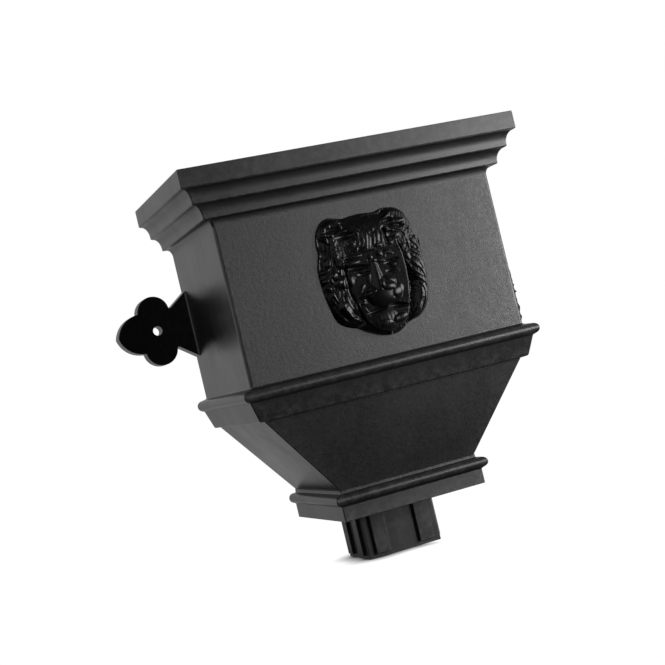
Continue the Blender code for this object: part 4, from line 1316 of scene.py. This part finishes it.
def makeLion(look):
    u, v, inward = lionGrid(look)
    height = np.maximum(lionForm(u, v, inward, look), look["wall"])
    front = np.stack([u * millimetre, maskBack - height * millimetre, v * millimetre], -1).reshape(-1, 3)
    count = look["cells"] + 1
    index = np.arange(count * count).reshape(count, count)
    quads = np.stack([index[:-1, :-1], index[:-1, 1:], index[1:, 1:], index[1:, :-1]], -1).reshape(-1, 4)
    rim = np.concatenate([index[0, :-1], index[:-1, -1], index[-1, :0:-1], index[:0:-1, 0]])
    behind = front[rim].copy()
    behind[:, 1] = maskBack
    backRim = count * count + np.arange(len(rim))
    walls = np.stack([np.roll(rim, -1), rim, backRim, np.roll(backRim, -1)], -1)
    faces = quads.tolist() + walls.tolist() + [backRim[::-1].tolist()]
    mesh = bpy.data.meshes.new("lionMask")
    mesh.from_pydata(np.concatenate([front, behind]).tolist(), [], faces)
    mesh.update()
    mesh.materials.append(glossBlack)
    markRidgesAndHollowShade(mesh, height, len(rim), look)
    item = bpy.data.objects.new("lionMask", mesh)
    bpy.context.scene.collection.objects.link(item)
    return item


lionMask = makeLion(lion)
softenShading(lionMask, lion["sharpAngle"])
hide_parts("lion_mask")
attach(lionMask, "root")
lionMask.visible_shadow = False  # too shallow to shade the panel under the broad key
print("lion mask modelled")


# Floor and light

studio = {
    "roomGrey": 0.03,
    "reflectedWhite": 0.55,
    "reflectionFront": (-0.42, -0.12),  # from dark in front to white behind, along Y of the reflected ray
    "reflectionRight": (0.45, 0.75),  # dark again to the right, along X
    "reflectionLeft": (-0.15, -0.60),  # from dark in front to pale at the left, along X
    "reflectedGrey": 1.0,
    "keyPlace": (0.96, -0.80, 0.03),
    "keyTarget": (0.0, -0.14, -0.02),
    "keySize": (1.00, 0.60),
    "keyWatts": 27.5,
    "floorSize": 8.0,
    "floorWhite": 1.02,
    "floorReflected": (0.00, 0.50),
    "floorTurns": (-0.10, 0.10),  # along Y, from the dim front to the white behind the hopper
    "floorColour": (0.10, 0.10, 0.10),
    "contactSamples": 16,
    "contactReach": 0.018,
    "contactDepth": 2.2,
    "contactEnd": (0.010, 0.028),  # along X, where the shadow fades out
}


def makeFloor(look):
    # White to the camera with a soft contact shadow, and a dull matt floor to the light
    bm = bmesh.new()
    bmesh.ops.create_grid(bm, x_segments=1, y_segments=1, size=look["floorSize"] / 2)
    bmesh.ops.translate(bm, verts=bm.verts, vec=(0.0, 0.0, bodyLow.z))
    floor = objectFrom(bm, "floor")
    material = bpy.data.materials.new("paleFloor")
    material.use_nodes = True
    tree = material.node_tree
    tree.nodes.clear()
    output = addNode(tree, "ShaderNodeOutputMaterial")
    rays = addNode(tree, "ShaderNodeLightPath")
    matt = addNode(tree, "ShaderNodeBsdfDiffuse")
    matt.inputs["Color"].default_value = (*look["floorColour"], 1.0)
    sheen = addNode(tree, "ShaderNodeEmission")
    mirrored = addMath(tree, "MAXIMUM", rays.outputs["Is Glossy Ray"], rays.outputs["Is Transmission Ray"])
    place = addNode(tree, "ShaderNodeSeparateXYZ")
    tree.links.new(addNode(tree, "ShaderNodeTexCoord").outputs["Object"], place.inputs[0])
    behind = addRange(tree, place.outputs["Y"], *look["floorTurns"], *look["floorReflected"])
    tree.links.new(addMath(tree, "MULTIPLY", mirrored, behind), sheen.inputs["Strength"])
    dull = addNode(tree, "ShaderNodeAddShader")
    tree.links.new(matt.outputs[0], dull.inputs[0])
    tree.links.new(sheen.outputs[0], dull.inputs[1])
    contact = addNode(tree, "ShaderNodeAmbientOcclusion", samples=look["contactSamples"])
    contact.inputs["Distance"].default_value = look["contactReach"]
    shade = addMath(tree, "POWER", contact.outputs["AO"], look["contactDepth"])
    clear = addRange(tree, place.outputs["X"], *look["contactEnd"], 0.0, 1.0)
    shade = addMath(tree, "MAXIMUM", shade, clear)
    paper = addNode(tree, "ShaderNodeEmission")
    tree.links.new(addMath(tree, "MULTIPLY", shade, look["floorWhite"]), paper.inputs["Strength"])
    choose = addNode(tree, "ShaderNodeMixShader")
    tree.links.new(rays.outputs["Is Camera Ray"], choose.inputs[0])
    tree.links.new(dull.outputs[0], choose.inputs[1])
    tree.links.new(paper.outputs[0], choose.inputs[2])
    tree.links.new(choose.outputs[0], output.inputs["Surface"])
    floor.data.materials.append(material)


def makeWorld(look):
    # White to the camera and dim to the light; to reflected rays it is dark in front, white behind
    # and pale at the left
    world = bpy.data.worlds.new("studio")
    bpy.context.scene.world = world
    world.use_nodes = True
    tree = world.node_tree
    background = tree.nodes["Background"]
    rays = addNode(tree, "ShaderNodeLightPath")
    ahead = addNode(tree, "ShaderNodeSeparateXYZ")
    tree.links.new(addNode(tree, "ShaderNodeTexCoord").outputs["Generated"], ahead.inputs[0])
    behind = addRange(tree, ahead.outputs["Y"], *look["reflectionFront"], 0.0, look["reflectedWhite"])
    right = addRange(tree, ahead.outputs["X"], *look["reflectionRight"], 1.0, 0.0)
    left = addRange(tree, ahead.outputs["X"], *look["reflectionLeft"], 0.0, look["reflectedGrey"])
    around = addMath(tree, "MAXIMUM", addMath(tree, "MULTIPLY", behind, right), left)
    glossy = addMath(tree, "MAXIMUM", rays.outputs["Is Glossy Ray"], rays.outputs["Is Transmission Ray"])
    mirrored = addMath(tree, "MULTIPLY", glossy, around)
    seen = addMath(tree, "MAXIMUM", rays.outputs["Is Camera Ray"], mirrored)
    tree.links.new(addMath(tree, "MAXIMUM", seen, look["roomGrey"]), background.inputs["Strength"])
    background.inputs["Color"].default_value = (1.0, 1.0, 1.0, 1.0)


def addSoftbox(name, place, target, size, watts):
    light = bpy.data.lights.new(name, "AREA")
    light.shape = "RECTANGLE"
    light.size, light.size_y = size
    light.energy = watts
    lamp = bpy.data.objects.new(name, light)
    bpy.context.scene.collection.objects.link(lamp)
    lamp.location = place
    lamp.rotation_euler = (Vector(target) - Vector(place)).to_track_quat("-Z", "Y").to_euler()


makeFloor(studio)
makeWorld(studio)
addSoftbox("keySoftbox", studio["keyPlace"], studio["keyTarget"], studio["keySize"], studio["keyWatts"])
print("studio made")
